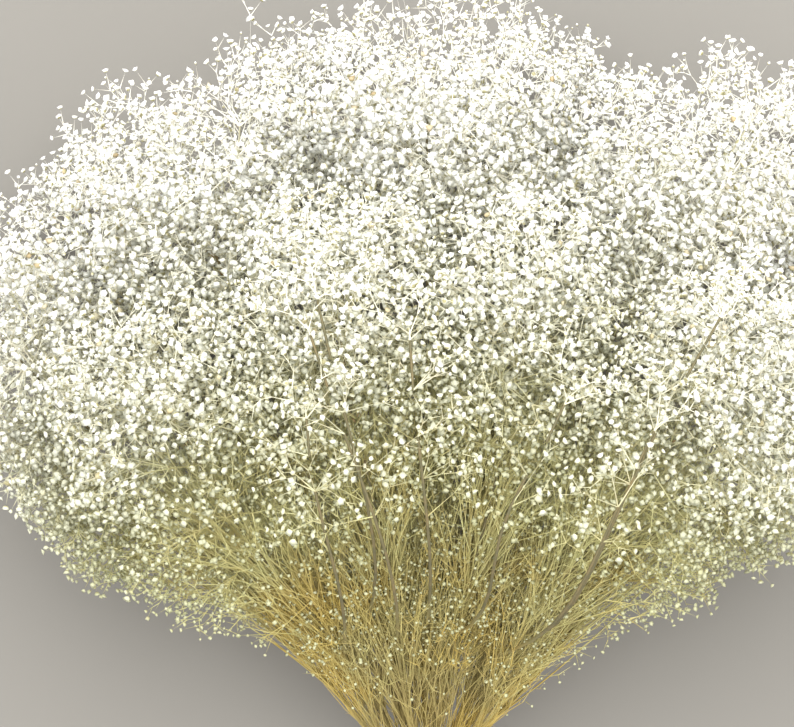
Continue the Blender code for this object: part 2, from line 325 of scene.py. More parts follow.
def plan_branches(line, places):
    """Pairs of opposite branches, each with its root on the stem, the bloom at its tip, and its twigs."""
    start = next(p for p in line if (p - WAIST).length > FIRST_FORK and p.y > WAIST.y)
    branches = []
    ordered = sorted(places, key=lambda p: (p - WAIST).length)
    for i in range(0, len(ordered), 2 * BLOOMS_PER_BRANCH):
        for blooms in halves(ordered[i : i + 2 * BLOOMS_PER_BRANCH]):
            if not blooms:
                continue
            middle = sum(blooms, Vector()) / len(blooms)
            root = start.lerp(line[-1], fork_share(middle, start, line[-1], 0, LAST_BRANCH))
            feet = [nearest_on(root, a, b)[0] for a, b in zip(line, line[1:])]
            root = min(feet, key=lambda p: (p - root).length)
            tip = max(blooms, key=lambda p: (p - root).length)
            blooms.remove(tip)
            twigs = [(fork_share(p, root, tip, FIRST_TWIG, LAST_TWIG), p) for p in blooms]
            long_enough = [(p - root.lerp(tip, share)).length > SHORTEST_TWIG for share, p in twigs]
            twigs = [twig for twig, kept in zip(twigs, long_enough) if kept]
            branches.append({"root": root, "tip": tip, "twigs": twigs})
    return branches


def sticks_of(branch):
    """The branch and its twigs as straight lines, each from its foot to its bloom."""
    root, tip = branch["root"], branch["tip"]
    return [(root, tip)] + [(root.lerp(tip, share), place) for share, place in branch["twigs"]]


print("twigs leave at", round(math.degrees(FORK_ANGLE)), "degrees where there is room")

# %% Room between the branches
CLEARANCE = 0.0012
DRAW_BACK = 0.06
DRAW_BACK_STEPS = 10
HALF_WAY = 0.5


def drawn_back(foot, place, sticks, blooms):
    """The place of a bloom, drawn back towards its foot until it is clear, or None."""
    for step in range(DRAW_BACK_STEPS):
        moved = place.lerp(foot, step * DRAW_BACK)
        apart = all((moved - other).length > 2 * BLOOM_RADIUS + CLEARANCE for other in blooms)
        if apart and is_clear(moved, sticks, CLEARANCE):
            return moved
    return None


def make_clear(own, stems):
    """Draws back the blooms of one branch until they are clear of all that isn't on it."""
    sticks = []
    blooms = []
    for stem in stems:
        sticks.extend(zip(stem["line"], stem["line"][1:]))
        for branch in stem["branches"]:
            if branch is not own:
                found = sticks_of(branch)
                sticks.extend(found)
                blooms.extend(place for foot, place in found)
    tip = drawn_back(own["root"], own["tip"], sticks, blooms)
    own["tip"] = tip or own["tip"].lerp(own["root"], HALF_WAY)
    kept = []
    for share, place in own["twigs"]:
        foot = own["root"].lerp(own["tip"], share)
        moved = drawn_back(foot, place, sticks, blooms)
        if moved and (moved - foot).length > SHORTEST_TWIG:
            kept.append((share, moved))
    own["twigs"] = kept


# %% The whole plan


def grow(stems):
    """Plans every stem's line and branches, and then clears each bloom of its neighbours."""
    taken = []
    for stem in stems:
        rng = random.Random(f"{SEED}-{stem['name']}")
        stem["line"] = stem_line(stem, rng)
        stem["branches"] = plan_branches(stem["line"], bloom_places(stem, stems, taken, rng))
        end = stem["line"][-1]
        root, tip = end - END_OVERLAP * stem["way"], end + TOP_TWIG * stem["way"]
        stem["branches"].append({"root": root, "tip": tip, "twigs": []})
    for stem in stems:
        for branch in stem["branches"]:
            make_clear(branch, stems)


STEMS = plan_stems()
grow(STEMS)
BRANCHES = [branch for stem in STEMS for branch in stem["branches"]]
print("branches:", len(BRANCHES), "blooms to dress:", sum(len(sticks_of(branch)) for branch in BRANCHES))

# %% [markdown]
# ## Aged plant matter
#
# Drying leaves blotches, darker where the plant held water, and dust that settles on it. Petals, stalks,
# bracts and twine all show it, so it is a node group, built once. It takes a colour and a scale, and
# gives back a mottled colour and a mask that roughness and bump can use.

# %% Helpers for node trees


def link_all(tree, *pairs):
    """Joins pairs of sockets in a node tree."""
    for start, end in pairs:
        tree.links.new(start, end)


def node(tree, kind, **values):
    """A new node with these properties. A dict called inputs gives values to its sockets, by name."""
    made = tree.nodes.new(kind)
    for name, value in values.pop("inputs", {}).items():
        made.inputs[name].default_value = value
    for name, value in values.items():
        setattr(made, name, value)
    return made


def group_sockets(tree, inputs, outputs):
    """Gives a node group its sockets: a name, a type, and a first value for each."""
    for name, kind, value in inputs:
        socket = tree.interface.new_socket(name=name, in_out="INPUT", socket_type=kind)
        if value is not None:
            socket.default_value = value
    for name, kind in outputs:
        tree.interface.new_socket(name=name, in_out="OUTPUT", socket_type=kind)
    return tree.nodes.new("NodeGroupInput"), tree.nodes.new("NodeGroupOutput")


# %% Helpers for materials


def object_place(tree):
    """The socket that gives a point's place in its own piece, so a pattern stays on the piece."""
    return node(tree, "ShaderNodeTexCoord").outputs["Object"]


def attribute_value(tree, name):
    """The socket that reads a named attribute of the mesh as a number."""
    return node(tree, "ShaderNodeAttribute", attribute_name=name).outputs["Fac"]


def blend(tree, colour):
    """A node that mixes this colour into the one at its socket A, by its Factor."""
    made = node(tree, "ShaderNodeMix", data_type="RGBA")
    made.inputs["B"].default_value = colour
    return made


def from_to(tree, limits, **values):
    """A node that turns a value between these limits into a share from 0 to 1."""
    made = node(tree, "ShaderNodeMapRange", **values)
    made.inputs["From Min"].default_value, made.inputs["From Max"].default_value = limits
    return made


def product(tree, first, second, **values):
    """The socket with the values of two sockets, multiplied."""
    made = node(tree, "ShaderNodeMath", operation="MULTIPLY", **values)
    link_all(tree, (first, made.inputs[0]), (second, made.inputs[1]))
    return made.outputs["Value"]


def colour_ramp(tree, stops):
    """A ramp with these stops, each a position and a colour."""
    made = node(tree, "ShaderNodeValToRGB")
    ramp = made.color_ramp
    ramp.elements[0].position, ramp.elements[0].color = stops[0]
    ramp.elements[1].position, ramp.elements[1].color = stops[-1]
    for position, colour in stops[1:-1]:
        ramp.elements.new(position).color = colour
    return made


def small_bumps(tree, shader, place, scale, strength, distance, detail=2.0):
    """Gives a shader small bumps from a noise texture at this place socket."""
    texture = node(tree, "ShaderNodeTexNoise", inputs={"Scale": scale, "Detail": detail})
    bump = node(tree, "ShaderNodeBump", inputs={"Strength": strength, "Distance": distance})
    link_all(
        tree,
        (place, texture.inputs["Vector"]),
        (texture.outputs["Fac"], bump.inputs["Height"]),
        (bump.outputs["Normal"], shader.inputs["Normal"]),
    )


HELPERS = (link_all, node, group_sockets, blend, from_to, product, colour_ramp, small_bumps)
print("helpers:", [helper.__name__ for helper in HELPERS])

# %% The aged plant group
BLOTCH_SCALE = 90
BLOTCH_EDGE = (0.42, 0.72)
FLECK_SCALE = 900
FLECK_EDGE = (0.58, 0.70)


def aged_plant_group():
    """A shader group that mottles a colour with soft blotches and small dark flecks."""
    tree = bpy.data.node_groups.new("aged_plant", "ShaderNodeTree")
    given, result = group_sockets(
        tree,
        (
            ("Colour", "NodeSocketColor", (0.8, 0.8, 0.8, 1)),
            ("Old Colour", "NodeSocketColor", (0.4, 0.3, 0.2, 1)),
            ("Blotch Scale", "NodeSocketFloat", BLOTCH_SCALE),
            ("Fleck Scale", "NodeSocketFloat", FLECK_SCALE),
            ("Age", "NodeSocketFloat", 0.3),
        ),
        (("Colour", "NodeSocketColor"), ("Mask", "NodeSocketFloat")),
    )
    place = object_place(tree)
    blotch = node(tree, "ShaderNodeTexNoise", inputs={"Detail": 3.0, "Roughness": 0.6})
    fleck = node(tree, "ShaderNodeTexNoise", inputs={"Detail": 2.0, "Roughness": 0.7})
    soft = from_to(tree, BLOTCH_EDGE)
    sharp = from_to(tree, FLECK_EDGE)
    both = node(tree, "ShaderNodeMath", operation="MAXIMUM")
    aged = product(tree, both.outputs["Value"], given.outputs["Age"], use_clamp=True)
    mixed = node(tree, "ShaderNodeMix", data_type="RGBA")
    link_all(
        tree,
        (place, blotch.inputs["Vector"]),
        (place, fleck.inputs["Vector"]),
        (given.outputs["Blotch Scale"], blotch.inputs["Scale"]),
        (given.outputs["Fleck Scale"], fleck.inputs["Scale"]),
        (blotch.outputs["Fac"], soft.inputs["Value"]),
        (fleck.outputs["Fac"], sharp.inputs["Value"]),
        (soft.outputs["Result"], both.inputs[0]),
        (sharp.outputs["Result"], both.inputs[1]),
        (aged, mixed.inputs["Factor"]),
        (given.outputs["Colour"], mixed.inputs["A"]),
        (given.outputs["Old Colour"], mixed.inputs["B"]),
        (mixed.outputs["Result"], result.inputs["Colour"]),
        (aged, result.inputs["Mask"]),
    )
    return tree


AGED_PLANT = aged_plant_group()
print("shared group:", AGED_PLANT.name)

# %% Starting a material


def new_material(name, roughness, specular=0.5):
    """A new material, its node tree and its Principled BSDF."""
    made = bpy.data.materials.new(name)
    made.use_nodes = True
    shader = made.node_tree.nodes["Principled BSDF"]
    shader.inputs["Roughness"].default_value = roughness
    shader.inputs["Specular IOR Level"].default_value = specular
    return made, made.node_tree, shader


def aged_node(tree, old_colour, age, blotch_scale=BLOTCH_SCALE, fleck_scale=FLECK_SCALE):
    """Places the aged plant group in a material."""
    placed = node(tree, "ShaderNodeGroup", node_tree=AGED_PLANT)
    placed.inputs["Old Colour"].default_value = old_colour
    placed.inputs["Age"].default_value = age
    placed.inputs["Blotch Scale"].default_value = blotch_scale
    placed.inputs["Fleck Scale"].default_value = fleck_scale
    return placed


print("sockets of the group:", [item.name for item in AGED_PLANT.interface.items_tree])

# %% [markdown]
# ## Floret finish
#
# Dried petals are warm white and papery, and each floret sits in a tiny straw-coloured cup. A mesh
# attribute marks the cup, and a second one gives every floret a tone of its own, so no two neighbours
# match. Most stay white, and a few have turned tan, as on the real plant. Near the waist the petals turn
# yellow and are also painted darker, as painted shade for the dim lower half of the head.

# %% Floret material
HEAD_REACH = 0.50
PETAL_FRESH = (0.91, 0.915, 0.90, 1)
PETAL_DULL = (0.80, 0.80, 0.72, 1)
PETAL_TAN = (0.42, 0.31, 0.16, 1)
CUP_COLOUR = (0.36, 0.33, 0.16, 1)
PETAL_SPOT = (0.66, 0.62, 0.46, 1)
# The petals near the waist take this colour. It is partly their own yellowing and partly painted shade for
# the dim lower head.
PETAL_FADED_AND_SHADED = (0.36, 0.365, 0.19, 1)
FADED_AND_SHADED_UNTIL = (0.42, 0.84)
MOST_FADED_AND_SHADED = 0.95
CUP_EDGE = (0.6, 1.0)
PETAL_TONES = (
    (0.0, PETAL_DULL),
    (0.35, PETAL_FRESH),
    (0.95, PETAL_FRESH),
    (0.975, PETAL_DULL),
    (1.0, PETAL_TAN),
)


def distance_from_waist(tree):
    """The socket that gives how far a point is from the waist, as a share of the head's reach."""
    away = node(tree, "ShaderNodeVectorMath", operation="DISTANCE")
    away.inputs[1].default_value = WAIST
    share = node(tree, "ShaderNodeMath", operation="DIVIDE")
    share.inputs[1].default_value = HEAD_REACH
    link_all(
        tree,
        (object_place(tree), away.inputs[0]),
        (away.outputs["Value"], share.inputs[0]),
    )
    return share.outputs["Value"]


def floret_material():
    """Papery white petals in their own tones, yellowed near the waist and darker there as painted shade,
    dark at the cup.
    """
    made, tree, shader = new_material("dried_floret", roughness=0.78, specular=0.25)
    tones = colour_ramp(tree, PETAL_TONES)
    fading_and_shade = {"To Min": MOST_FADED_AND_SHADED, "To Max": 0.0}
    near = from_to(tree, FADED_AND_SHADED_UNTIL, interpolation_type="SMOOTHSTEP", inputs=fading_and_shade)
    faded_and_shaded = blend(tree, PETAL_FADED_AND_SHADED)
    cup = blend(tree, CUP_COLOUR)
    edge = from_to(tree, CUP_EDGE)
    aged = aged_node(tree, PETAL_SPOT, age=0.35, blotch_scale=260, fleck_scale=2400)
    small_bumps(tree, shader, object_place(tree), scale=1800.0, strength=0.5, distance=0.0003)
    link_all(
        tree,
        (attribute_value(tree, "tone"), tones.inputs["Fac"]),
        (attribute_value(tree, "cup"), edge.inputs["Value"]),
        (edge.outputs["Result"], cup.inputs["Factor"]),
        (distance_from_waist(tree), near.inputs["Value"]),
        (near.outputs["Result"], faded_and_shaded.inputs["Factor"]),
        (tones.outputs["Color"], faded_and_shaded.inputs["A"]),
        (faded_and_shaded.outputs["Result"], cup.inputs["A"]),
        (cup.outputs["Result"], aged.inputs["Colour"]),
        (aged.outputs["Colour"], shader.inputs["Base Color"]),
    )
    return made


FLORET_FINISH = floret_material()
print("finish:", FLORET_FINISH.name)

# %% [markdown]
# ## Stalk finish
#
# The stalks are yellow ochre near the waist, straw coloured in the middle of the head and cream at the
# tips. Near the waist they are also painted darker, as shade. The distance from the waist drives that
# change. Fine ribs run along the bundle, so the bump texture is stretched that way with a Mapping node.
# Soft golden patches lie among the stalks near the waist. Attributes mark the dark main stems, the
# finest stalks, and the cut ends, which show pale pith.

# %% Masks for the stalks
# These stops darken towards the waist. That is partly the stalks' own ochre and partly painted shade for
# the dim neck.
STALK_COLOUR_AND_SHADE_STOPS = (
    (0.00, (0.25, 0.195, 0.066, 1)),
    (0.12, (0.30, 0.24, 0.080, 1)),
    (0.26, (0.41, 0.37, 0.145, 1)),
    (0.40, (0.45, 0.435, 0.19, 1)),
    (0.60, (0.40, 0.385, 0.19, 1)),
)
FINE_STALK = (0.88, 0.87, 0.78, 1)
FINE_FROM = (0.46, 0.85)
GOLDEN = (0.47, 0.335, 0.07, 1)
GOLDEN_SCALE = 24
GOLDEN_EDGE = (0.46, 0.64)
MOST_GOLDEN = 0.85
GOLDEN_UNTIL = (0.24, 0.52)
MAIN_STEM = (0.11, 0.10, 0.05, 1)
MAIN_STEM_FROM = (0.14, 0.34)
STALK_OLD = (0.30, 0.20, 0.08, 1)
PITH_COLOUR = (0.80, 0.74, 0.55, 1)
RIB_STRETCH = (1400, 60, 1400)


def golden_patches(tree, away):
    """A mask of soft golden patches among the stalks near the waist."""
    patch = node(tree, "ShaderNodeTexNoise", inputs={"Scale": GOLDEN_SCALE, "Detail": 2.0})
    sharp = from_to(tree, GOLDEN_EDGE, inputs={"To Max": MOST_GOLDEN})
    near = from_to(tree, GOLDEN_UNTIL, inputs={"To Min": 1.0, "To Max": 0.0})
    link_all(
        tree,
        (object_place(tree), patch.inputs["Vector"]),
        (patch.outputs["Fac"], sharp.inputs["Value"]),
        (away, near.inputs["Value"]),
    )
    return product(tree, sharp.outputs["Result"], near.outputs["Result"])


def main_stems(tree, away):
    """A mask of the main stems above the waist. They carry -1 where finer stalks carry 0 to 1."""
    main = node(tree, "ShaderNodeMath", operation="MULTIPLY", use_clamp=True)
    main.inputs[1].default_value = -1
    above = from_to(tree, MAIN_STEM_FROM)
    link_all(
        tree,
        (attribute_value(tree, "fine"), main.inputs[0]),
        (away, above.inputs["Value"]),
    )
    return product(tree, main.outputs["Value"], above.outputs["Result"])


def fine_stalks(tree, away):
    """A mask of the finest stalks in the outer part of the head."""
    outer = from_to(tree, FINE_FROM, interpolation_type="SMOOTHSTEP")
    tree.links.new(away, outer.inputs["Value"])
    return product(tree, outer.outputs["Result"], attribute_value(tree, "fine"))


print("ribs are stretched by", RIB_STRETCH)

# %% Stalk material


def stalk_material():
    """Ochre to cream stalks with golden patches, dark main stems and pale cut ends, ribbed lengthwise."""
    made, tree, shader = new_material("dried_stalk", roughness=0.62, specular=0.35)
    away = distance_from_waist(tree)
    along = colour_ramp(tree, STALK_COLOUR_AND_SHADE_STOPS)
    golden = blend(tree, GOLDEN)
    darker = blend(tree, MAIN_STEM)
    fine = blend(tree, FINE_STALK)
    pith = blend(tree, PITH_COLOUR)
    aged = aged_node(tree, STALK_OLD, age=0.40, blotch_scale=120, fleck_scale=700)
    turned = {"Rotation": (-BUNDLE_PITCH, 0, 0), "Scale": RIB_STRETCH}
    turn = node(tree, "ShaderNodeMapping", inputs=turned)
    small_bumps(tree, shader, turn.outputs["Vector"], scale=1.0, strength=0.6, distance=0.0004)
    link_all(
        tree,
        (object_place(tree), turn.inputs["Vector"]),
        (away, along.inputs["Fac"]),
        (golden_patches(tree, away), golden.inputs["Factor"]),
        (along.outputs["Color"], golden.inputs["A"]),
        (main_stems(tree, away), darker.inputs["Factor"]),
        (golden.outputs["Result"], darker.inputs["A"]),
        (fine_stalks(tree, away), fine.inputs["Factor"]),
        (darker.outputs["Result"], fine.inputs["A"]),
        (attribute_value(tree, "cut"), pith.inputs["Factor"]),
        (fine.outputs["Result"], pith.inputs["A"]),
        (pith.outputs["Result"], aged.inputs["Colour"]),
        (aged.outputs["Colour"], shader.inputs["Base Color"]),
    )
    return made


STALK_FINISH = stalk_material()
print("finish:", STALK_FINISH.name)

# %% [markdown]
# ## Bract finish
#
# The bracts are the last small leaves, dried to brown paper. On the real plant each one is paler towards
# its tip. At this size one colour for each copy is enough, so the copy's own tone mixes a dark and a pale
# brown, and the shared blotches do the rest.

# %% Bract material
BRACT_DARK = (0.22, 0.14, 0.06, 1)
BRACT_PALE = (0.48, 0.38, 0.20, 1)


def bract_material():
    """Brown papery leaves, each in its own tone."""
    made, tree, shader = new_material("papery_bract", roughness=0.7, specular=0.3)
    tones = blend(tree, BRACT_PALE)
    tones.inputs["A"].default_value = BRACT_DARK
    aged = aged_node(tree, STALK_OLD, age=0.5, blotch_scale=400, fleck_scale=1600)
    small_bumps(tree, shader, object_place(tree), scale=2200.0, strength=0.5, distance=0.0003)
    link_all(
        tree,
        (attribute_value(tree, "tone"), tones.inputs["Factor"]),
        (tones.outputs["Result"], aged.inputs["Colour"]),
        (aged.outputs["Colour"], shader.inputs["Base Color"]),
    )
    return made


BRACT_FINISH = bract_material()
print("finish:", BRACT_FINISH.name)

# %% [markdown]
# ## Small shapes that repeat
#
# The head holds some fifty thousand florets, so each one has only eight to twenty faces: a cup that
# widens to an uneven rim of petals. The fuller forms have a domed middle as well. Four open forms and a
# closed bud are enough variety once each copy has its own size, turn and tone. A sixth form, with the
# fewest faces, is for the florets deep inside the head. The collections that hold these shapes aren't
# linked to the scene, so the shapes aren't pieces.

# %% Floret shapes
PETALS = 5
RIM_LIFT = 0.6


def kit_object(name, shape, collection):
    mesh = bpy.data.meshes.new(name)
    shape.to_mesh(mesh)
    shape.free()
    made = bpy.data.objects.new(name, mesh)
    collection.objects.link(made)
    return made


def kit_shape(name, rings, collection, foot=None, crown=None):
    """A closed shape round +Z. Its ends are closed by a point at this height, or flat where none is given.

    Each ring is a list of (radius, height, cup) with one entry for each corner.
    """
    shape = bmesh.new()
    cup = shape.verts.layers.float.new("cup")
    loops = []
    for level, ring in enumerate(rings):
        loop = []
        for i, (radius, height, share) in enumerate(ring):
            angle = math.tau * (i + level / 2) / len(ring)
            corner = shape.verts.new((radius * math.cos(angle), radius * math.sin(angle), height))
            corner[cup] = share
            loop.append(corner)
        loops.append(loop)
    for first, second in zip(loops, loops[1:]):
        for i in range(len(first)):
            j = (i + 1) % len(first)
            shape.faces.new((first[i], first[j], second[i]))
            shape.faces.new((first[j], second[j], second[i]))
    for loop, height, share in ((loops[0][::-1], foot, 1), (loops[-1], crown, 0)):
        if height is None:
            shape.faces.new(loop)
            continue
        end = shape.verts.new((0, 0, height))
        end[cup] = share
        for i in range(len(loop)):
            shape.faces.new((end, loop[i], loop[(i + 1) % len(loop)]))
    return kit_object(name, shape, collection)


def rim(corners, radius, height, cup=0, shifts=(0,)):
    """A ring whose corners stand out and up by different shares."""
    around = [shifts[i % len(shifts)] for i in range(corners)]
    return [(radius * (1 + shift), height * (1 + RIM_LIFT * shift), cup) for shift in around]


print("corners of an open floret:", len(rim(2 * PETALS, 1, 1)))

# %% The floret kit
FLORET_KIT = bpy.data.collections.new("floret_kit")
ROUND = [rim(4, 0.60, 0.12, cup=1), rim(4, 1.0, 0.95, shifts=(0.10, -0.06, 0.04))]
FULL = [rim(5, 0.52, 0.15, cup=1), rim(5, 1.03, 0.86, shifts=(0.10, -0.14, 0.06))]
OPEN = [rim(2 * PETALS, 0.95, 0.78, shifts=(0.24, -0.22))]
HALF_OPEN = [rim(4, 0.44, 0.16, cup=1), rim(4, 0.80, 1.12, shifts=(0.10, -0.08))]
BUD = [rim(4, 0.50, 0.60, cup=0.95)]
INNER = [rim(3, 0.70, 0.10, cup=1), rim(3, 1.10, 1.02)]
kit_shape("a_round_floret", ROUND, FLORET_KIT)
kit_shape("b_full_floret", FULL, FLORET_KIT, crown=1.24)
kit_shape("c_open_floret", OPEN, FLORET_KIT, foot=0.0, crown=1.08)
kit_shape("d_half_open_floret", HALF_OPEN, FLORET_KIT, crown=1.36)
kit_shape("e_bud", BUD, FLORET_KIT, foot=0.0, crown=1.25)
kit_shape("f_inner_floret", INNER, FLORET_KIT)
OPEN_KINDS = (0, 0, 0, 1, 1, 2, 3)
BUD_KIND = 4
INNER_KIND = 5

# %% Stalk and bract shapes
STALK_KIT = bpy.data.collections.new("stalk_kit")
kit_shape("a_spike", [rim(3, 1, 0)], STALK_KIT, crown=1.0)
kit_shape("b_rod", [rim(3, 1, 0), rim(3, 0.72, 1)], STALK_KIT)
SPIKE_KIND, ROD_KIND = 0, 1
BRACT_KIT = bpy.data.collections.new("bract_kit")
kit_shape("a_bract", [rim(3, 1, 0.36)], BRACT_KIT, foot=0.0, crown=1.0)
SMALL_SHAPES = [*STALK_KIT.objects, *BRACT_KIT.objects]
print("stalk and bract shapes:", [(shape.name, len(shape.data.polygons)) for shape in SMALL_SHAPES])

# %% [markdown]
# ## How a cluster forks
#
# A gypsophila cluster forks in pairs. At each fork the main stalk ends in one floret, and two arms leave
# beside it and fork again, crosswise to the fork before. Five levels of that give some sixty florets.
# Every length and angle varies a little, some arms stop early, and the whole follows from a seeded
# generator. An arm that would leave the fan's outline isn't grown, and one that would sink into the table
# is bent up.

# %% Where a floret may be
LOWEST_FLORET = 0.0022
PRESSED_DEPTH = 0.010
JUST_UNDER = 0.999
PROUD = 0.009
NECK_EDGE = 46
NECK_REACH = 0.12
HEAD_SPREAD = 110
WIDEST_EDGE = 57
EDGE_LOOSENESS = (-3, 2)
RIM_SHARE = 0.985
# Each wave of notches has a depth, a number in a full turn, and a phase.
RIM_NOTCHES = ((0.030, 31, 0.4), (0.022, 73, 2.1))
RIM_LOOSENESS = 0.003


def lifted(place):
    """The place, eased up on to the table where it would sink into it."""
    height = place.z - LOWEST_FLORET
    if height >= PRESSED_DEPTH:
        return place
    eased = PRESSED_DEPTH * math.exp(min(0, height - PRESSED_DEPTH) / PRESSED_DEPTH)
    return Vector((place.x, place.y, LOWEST_FLORET + eased * JUST_UNDER))


def seen_from_above(place):
    """The azimuth at the waist and the distance from it, as the camera sees them."""
    aside, ahead = place[0] - WAIST.x, place[1] - WAIST.y
    return math.degrees(math.atan2(aside, ahead)), math.hypot(aside, ahead)


def ragged_rim(azimuth):
    """How far florets reach at this azimuth: the solid model's reach, with notches between the sprays."""
    turn = math.radians(azimuth)
    notch = sum(depth * (1 + math.sin(turn * count + phase)) / 2 for depth, count, phase in RIM_NOTCHES)
    return reach(azimuth) * (RIM_SHARE - notch)


def within_fan(place, looseness=0, beyond=0):
    """Whether a place is inside the fan's side edges, its ragged rim and the solid model's box."""
    azimuth, away = seen_from_above(place)
    inside = all(low - PROUD < v < high + PROUD for v, low, high in zip(place, *CAD_BOX))
    inside = inside and away < ragged_rim(azimuth) + beyond + RIM_LOOSENESS * looseness
    edge = min(WIDEST_EDGE, NECK_EDGE + HEAD_SPREAD * max(0, away - NECK_REACH))
    return inside and abs(azimuth) < edge + looseness


print("rim of the florets straight ahead:", round(ragged_rim(0), 3))

# %% Sizes of the florets
FLORET_RADIUS = 0.00172
FLORET_SIZES = (0.78, 1.24)
BUD_SHARE = 0.14
FULL_SIZE_FROM = 0.27
SMALLEST = 0.40
INNER_AZIMUTH = 38
INNER_ELEVATION = 20
INNER_SHARE = 0.86
INNER_SIZE = 1.26


def grown(place):
    """The share of its full size that a floret has here. Those near the waist stay small."""
    share = min(1, (place - WAIST).length / FULL_SIZE_FROM)
    return SMALLEST + (1 - SMALLEST) * share * share


def is_inner(place):
    """Whether a floret is deep inside the head, where nobody sees its shape."""
    azimuth, away = seen_from_above(place)
    elevation = math.degrees(math.atan2(place.z - WAIST.z, away))
    low = abs(azimuth) < INNER_AZIMUTH and elevation < INNER_ELEVATION
    return low and away < INNER_SHARE * reach(azimuth)


print("a floret is", round(2000 * FLORET_RADIUS, 2), "mm wide, and at the waist", SMALLEST, "of that")

# %% What grows on a stem
BRACT_SIZE = (0.00062, 0.00026, 0.0036)
BRACT_VARIES = (0.8, 1.25)


class Growth:
    """What grows on one stem: lines for the thicker stalks, and points for the copies of small shapes.

    A point has a place, a way to look, a size, a kind of shape, a turn, and a number for its finish.
    Florets and bracts use that number as their tone, and stalks as how fine they look.
    """

    def __init__(self, seed):
        self.rng = random.Random(seed)
        self.lines = []
        self.stalks = []
        self.florets = []
        self.bracts = []
        self.feet = []
        self.beyond = 0

    def line(self, places, radii, fine):
        """A thicker stalk through these places."""
        self.lines.append((places, radii, fine))

    def stalk(self, start, end, radius, kind=SPIKE_KIND, fine=1.0):
        """A thin straight stalk."""
        way = end - start
        size = (radius, radius, way.length)
        self.stalks.append((start, way, size, kind, self.rng.uniform(0, math.tau), fine))

    def floret(self, place, way):
        """An open floret or a bud. Deep inside the head it is the simplest form, and a little larger."""
        rng = self.rng
        kind = rng.choice(OPEN_KINDS)
        size = FLORET_RADIUS * rng.uniform(*FLORET_SIZES) * grown(place)
        if rng.random() < BUD_SHARE:
            kind = BUD_KIND
        elif is_inner(place):
            kind = INNER_KIND
            size *= INNER_SIZE
        turn, tone = rng.uniform(0, math.tau), rng.random()
        self.florets.append((place, way, (size, size, size), kind, turn, tone))

    def bract(self, place, way, share):
        """A bract, at a share of its full size."""
        rng = self.rng
        size = [value * share * rng.uniform(*BRACT_VARIES) for value in BRACT_SIZE]
        self.bracts.append((place, way, size, 0, rng.uniform(0, math.tau), rng.random()))


print("a bract is", round(1000 * BRACT_SIZE[2], 1), "mm long")

# %% Forking clusters
FORK_LEVELS = 5
ARM_LENGTHS = (0.0098, 0.0082, 0.0068, 0.0056, 0.0046)
ARM_ANGLE = math.radians(33)
ARM_VARIES = (0.70, 1.35)
STALK_RADII = (0.00040, 0.00036, 0.00032, 0.00028, 0.00025)
PEDICEL = 0.0044
FLORET_SUNK = 0.0003
STOP_EARLY = (0.0, 0.04, 0.10, 0.16, 0.24)
CROSSWISE = math.radians(90)
CROSSWISE_VARIES = math.radians(35)
STRAY = 0.16
HINGE_SEED = Vector((0.31, 0.17, 0.93))


def strayed(way, rng):
    """The way, turned a little at random."""
    return (way + STRAY * Vector([rng.uniform(-1, 1) for _ in range(3)])).normalized()


def any_hinge(way, rng):
    """A unit vector at right angles to the way, turned round it at random."""
    return Quaternion(way, rng.uniform(0, math.tau)) @ way.cross(HINGE_SEED).normalized()


def forking_shoot(growth, start, way, hinge, length, radius, level):
    """A straight thin stalk with a floret at its end. Two arms leave it at its fork, below the floret."""
    rng = growth.rng
    whole = length + PEDICEL * rng.uniform(*ARM_VARIES)
    end = lifted(start + way * whole)
    if not within_fan(end, rng.uniform(*EDGE_LOOSENESS), growth.beyond):
        return
    fork = start.lerp(end, length / whole)
    way = (end - start).normalized()
    growth.stalk(start, end, radius)
    growth.floret(end - way * FLORET_SUNK, way)
    if level == FORK_LEVELS:
        return
    for side in (-1, 1):
        angle = side * ARM_ANGLE * rng.uniform(*ARM_VARIES)
        arm = strayed(Quaternion(hinge, angle) @ way, rng)
        turn = CROSSWISE + CROSSWISE_VARIES * rng.uniform(-1, 1)
        crossed = (Quaternion(arm, turn) @ hinge).normalized()
        following = FORK_LEVELS if rng.random() < STOP_EARLY[level] else level + 1
        arm_length = ARM_LENGTHS[level] * rng.uniform(*ARM_VARIES)
        forking_shoot(growth, fork, arm, crossed, arm_length, STALK_RADII[level], following)


print("a full cluster reaches", round(sum(ARM_LENGTHS), 3), "m from its first fork")

# %% [markdown]
# ## Bowed branches
#
# No dried branch is straight. Each one bows a little between its foot and its cluster. A quadratic curve
# with one control point beside the middle is enough for such a short, springy stalk. A pair of papery
# bracts sits at its foot, where a leaf once was.

# %% Bowed lines
CLUSTER_DEPTHS = (0.030, 0.025, 0.019, 0.013, 0.008)
# Nearer to the waist than each distance, a cluster starts from the fork beside it.
SMALLER_CLUSTERS = ((0.17, 4), (0.22, 3), (0.26, 2), (0.30, 1))
END_LENGTH = 0.003
DEEPEST_SHARE = 0.75
BOW = 0.07
BOW_VARIES = (0.3, 1)
BRANCH_RADII = (0.00058, 0.00034)
BRANCH_FINE = 0.3
TWIG_RADII = (0.00038, 0.00026)
TWIG_FINE = 0.5
LINE_STEPS = 9
BRACT_LEAN = math.radians(28)
BRACT_SUNK = 0.8
SMALL_BRACT = 0.6


def bowed(start, end, rng):
    """A function that gives the points of a slightly bowed line."""
    way = end - start
    aside = way.cross(Vector([rng.uniform(-1, 1) for _ in range(3)]))
    middle = start.lerp(end, 0.5) + aside.normalized() * way.length * BOW * rng.uniform(*BOW_VARIES)
    return lambda t: lifted(curved(start, middle, end, t))


def first_level(place):
    """The fork that a cluster at this place starts from. Those near the waist skip the first ones."""
    away = (place - WAIST).length
    return next((level for limit, level in SMALLER_CLUSTERS if away < limit), 0)


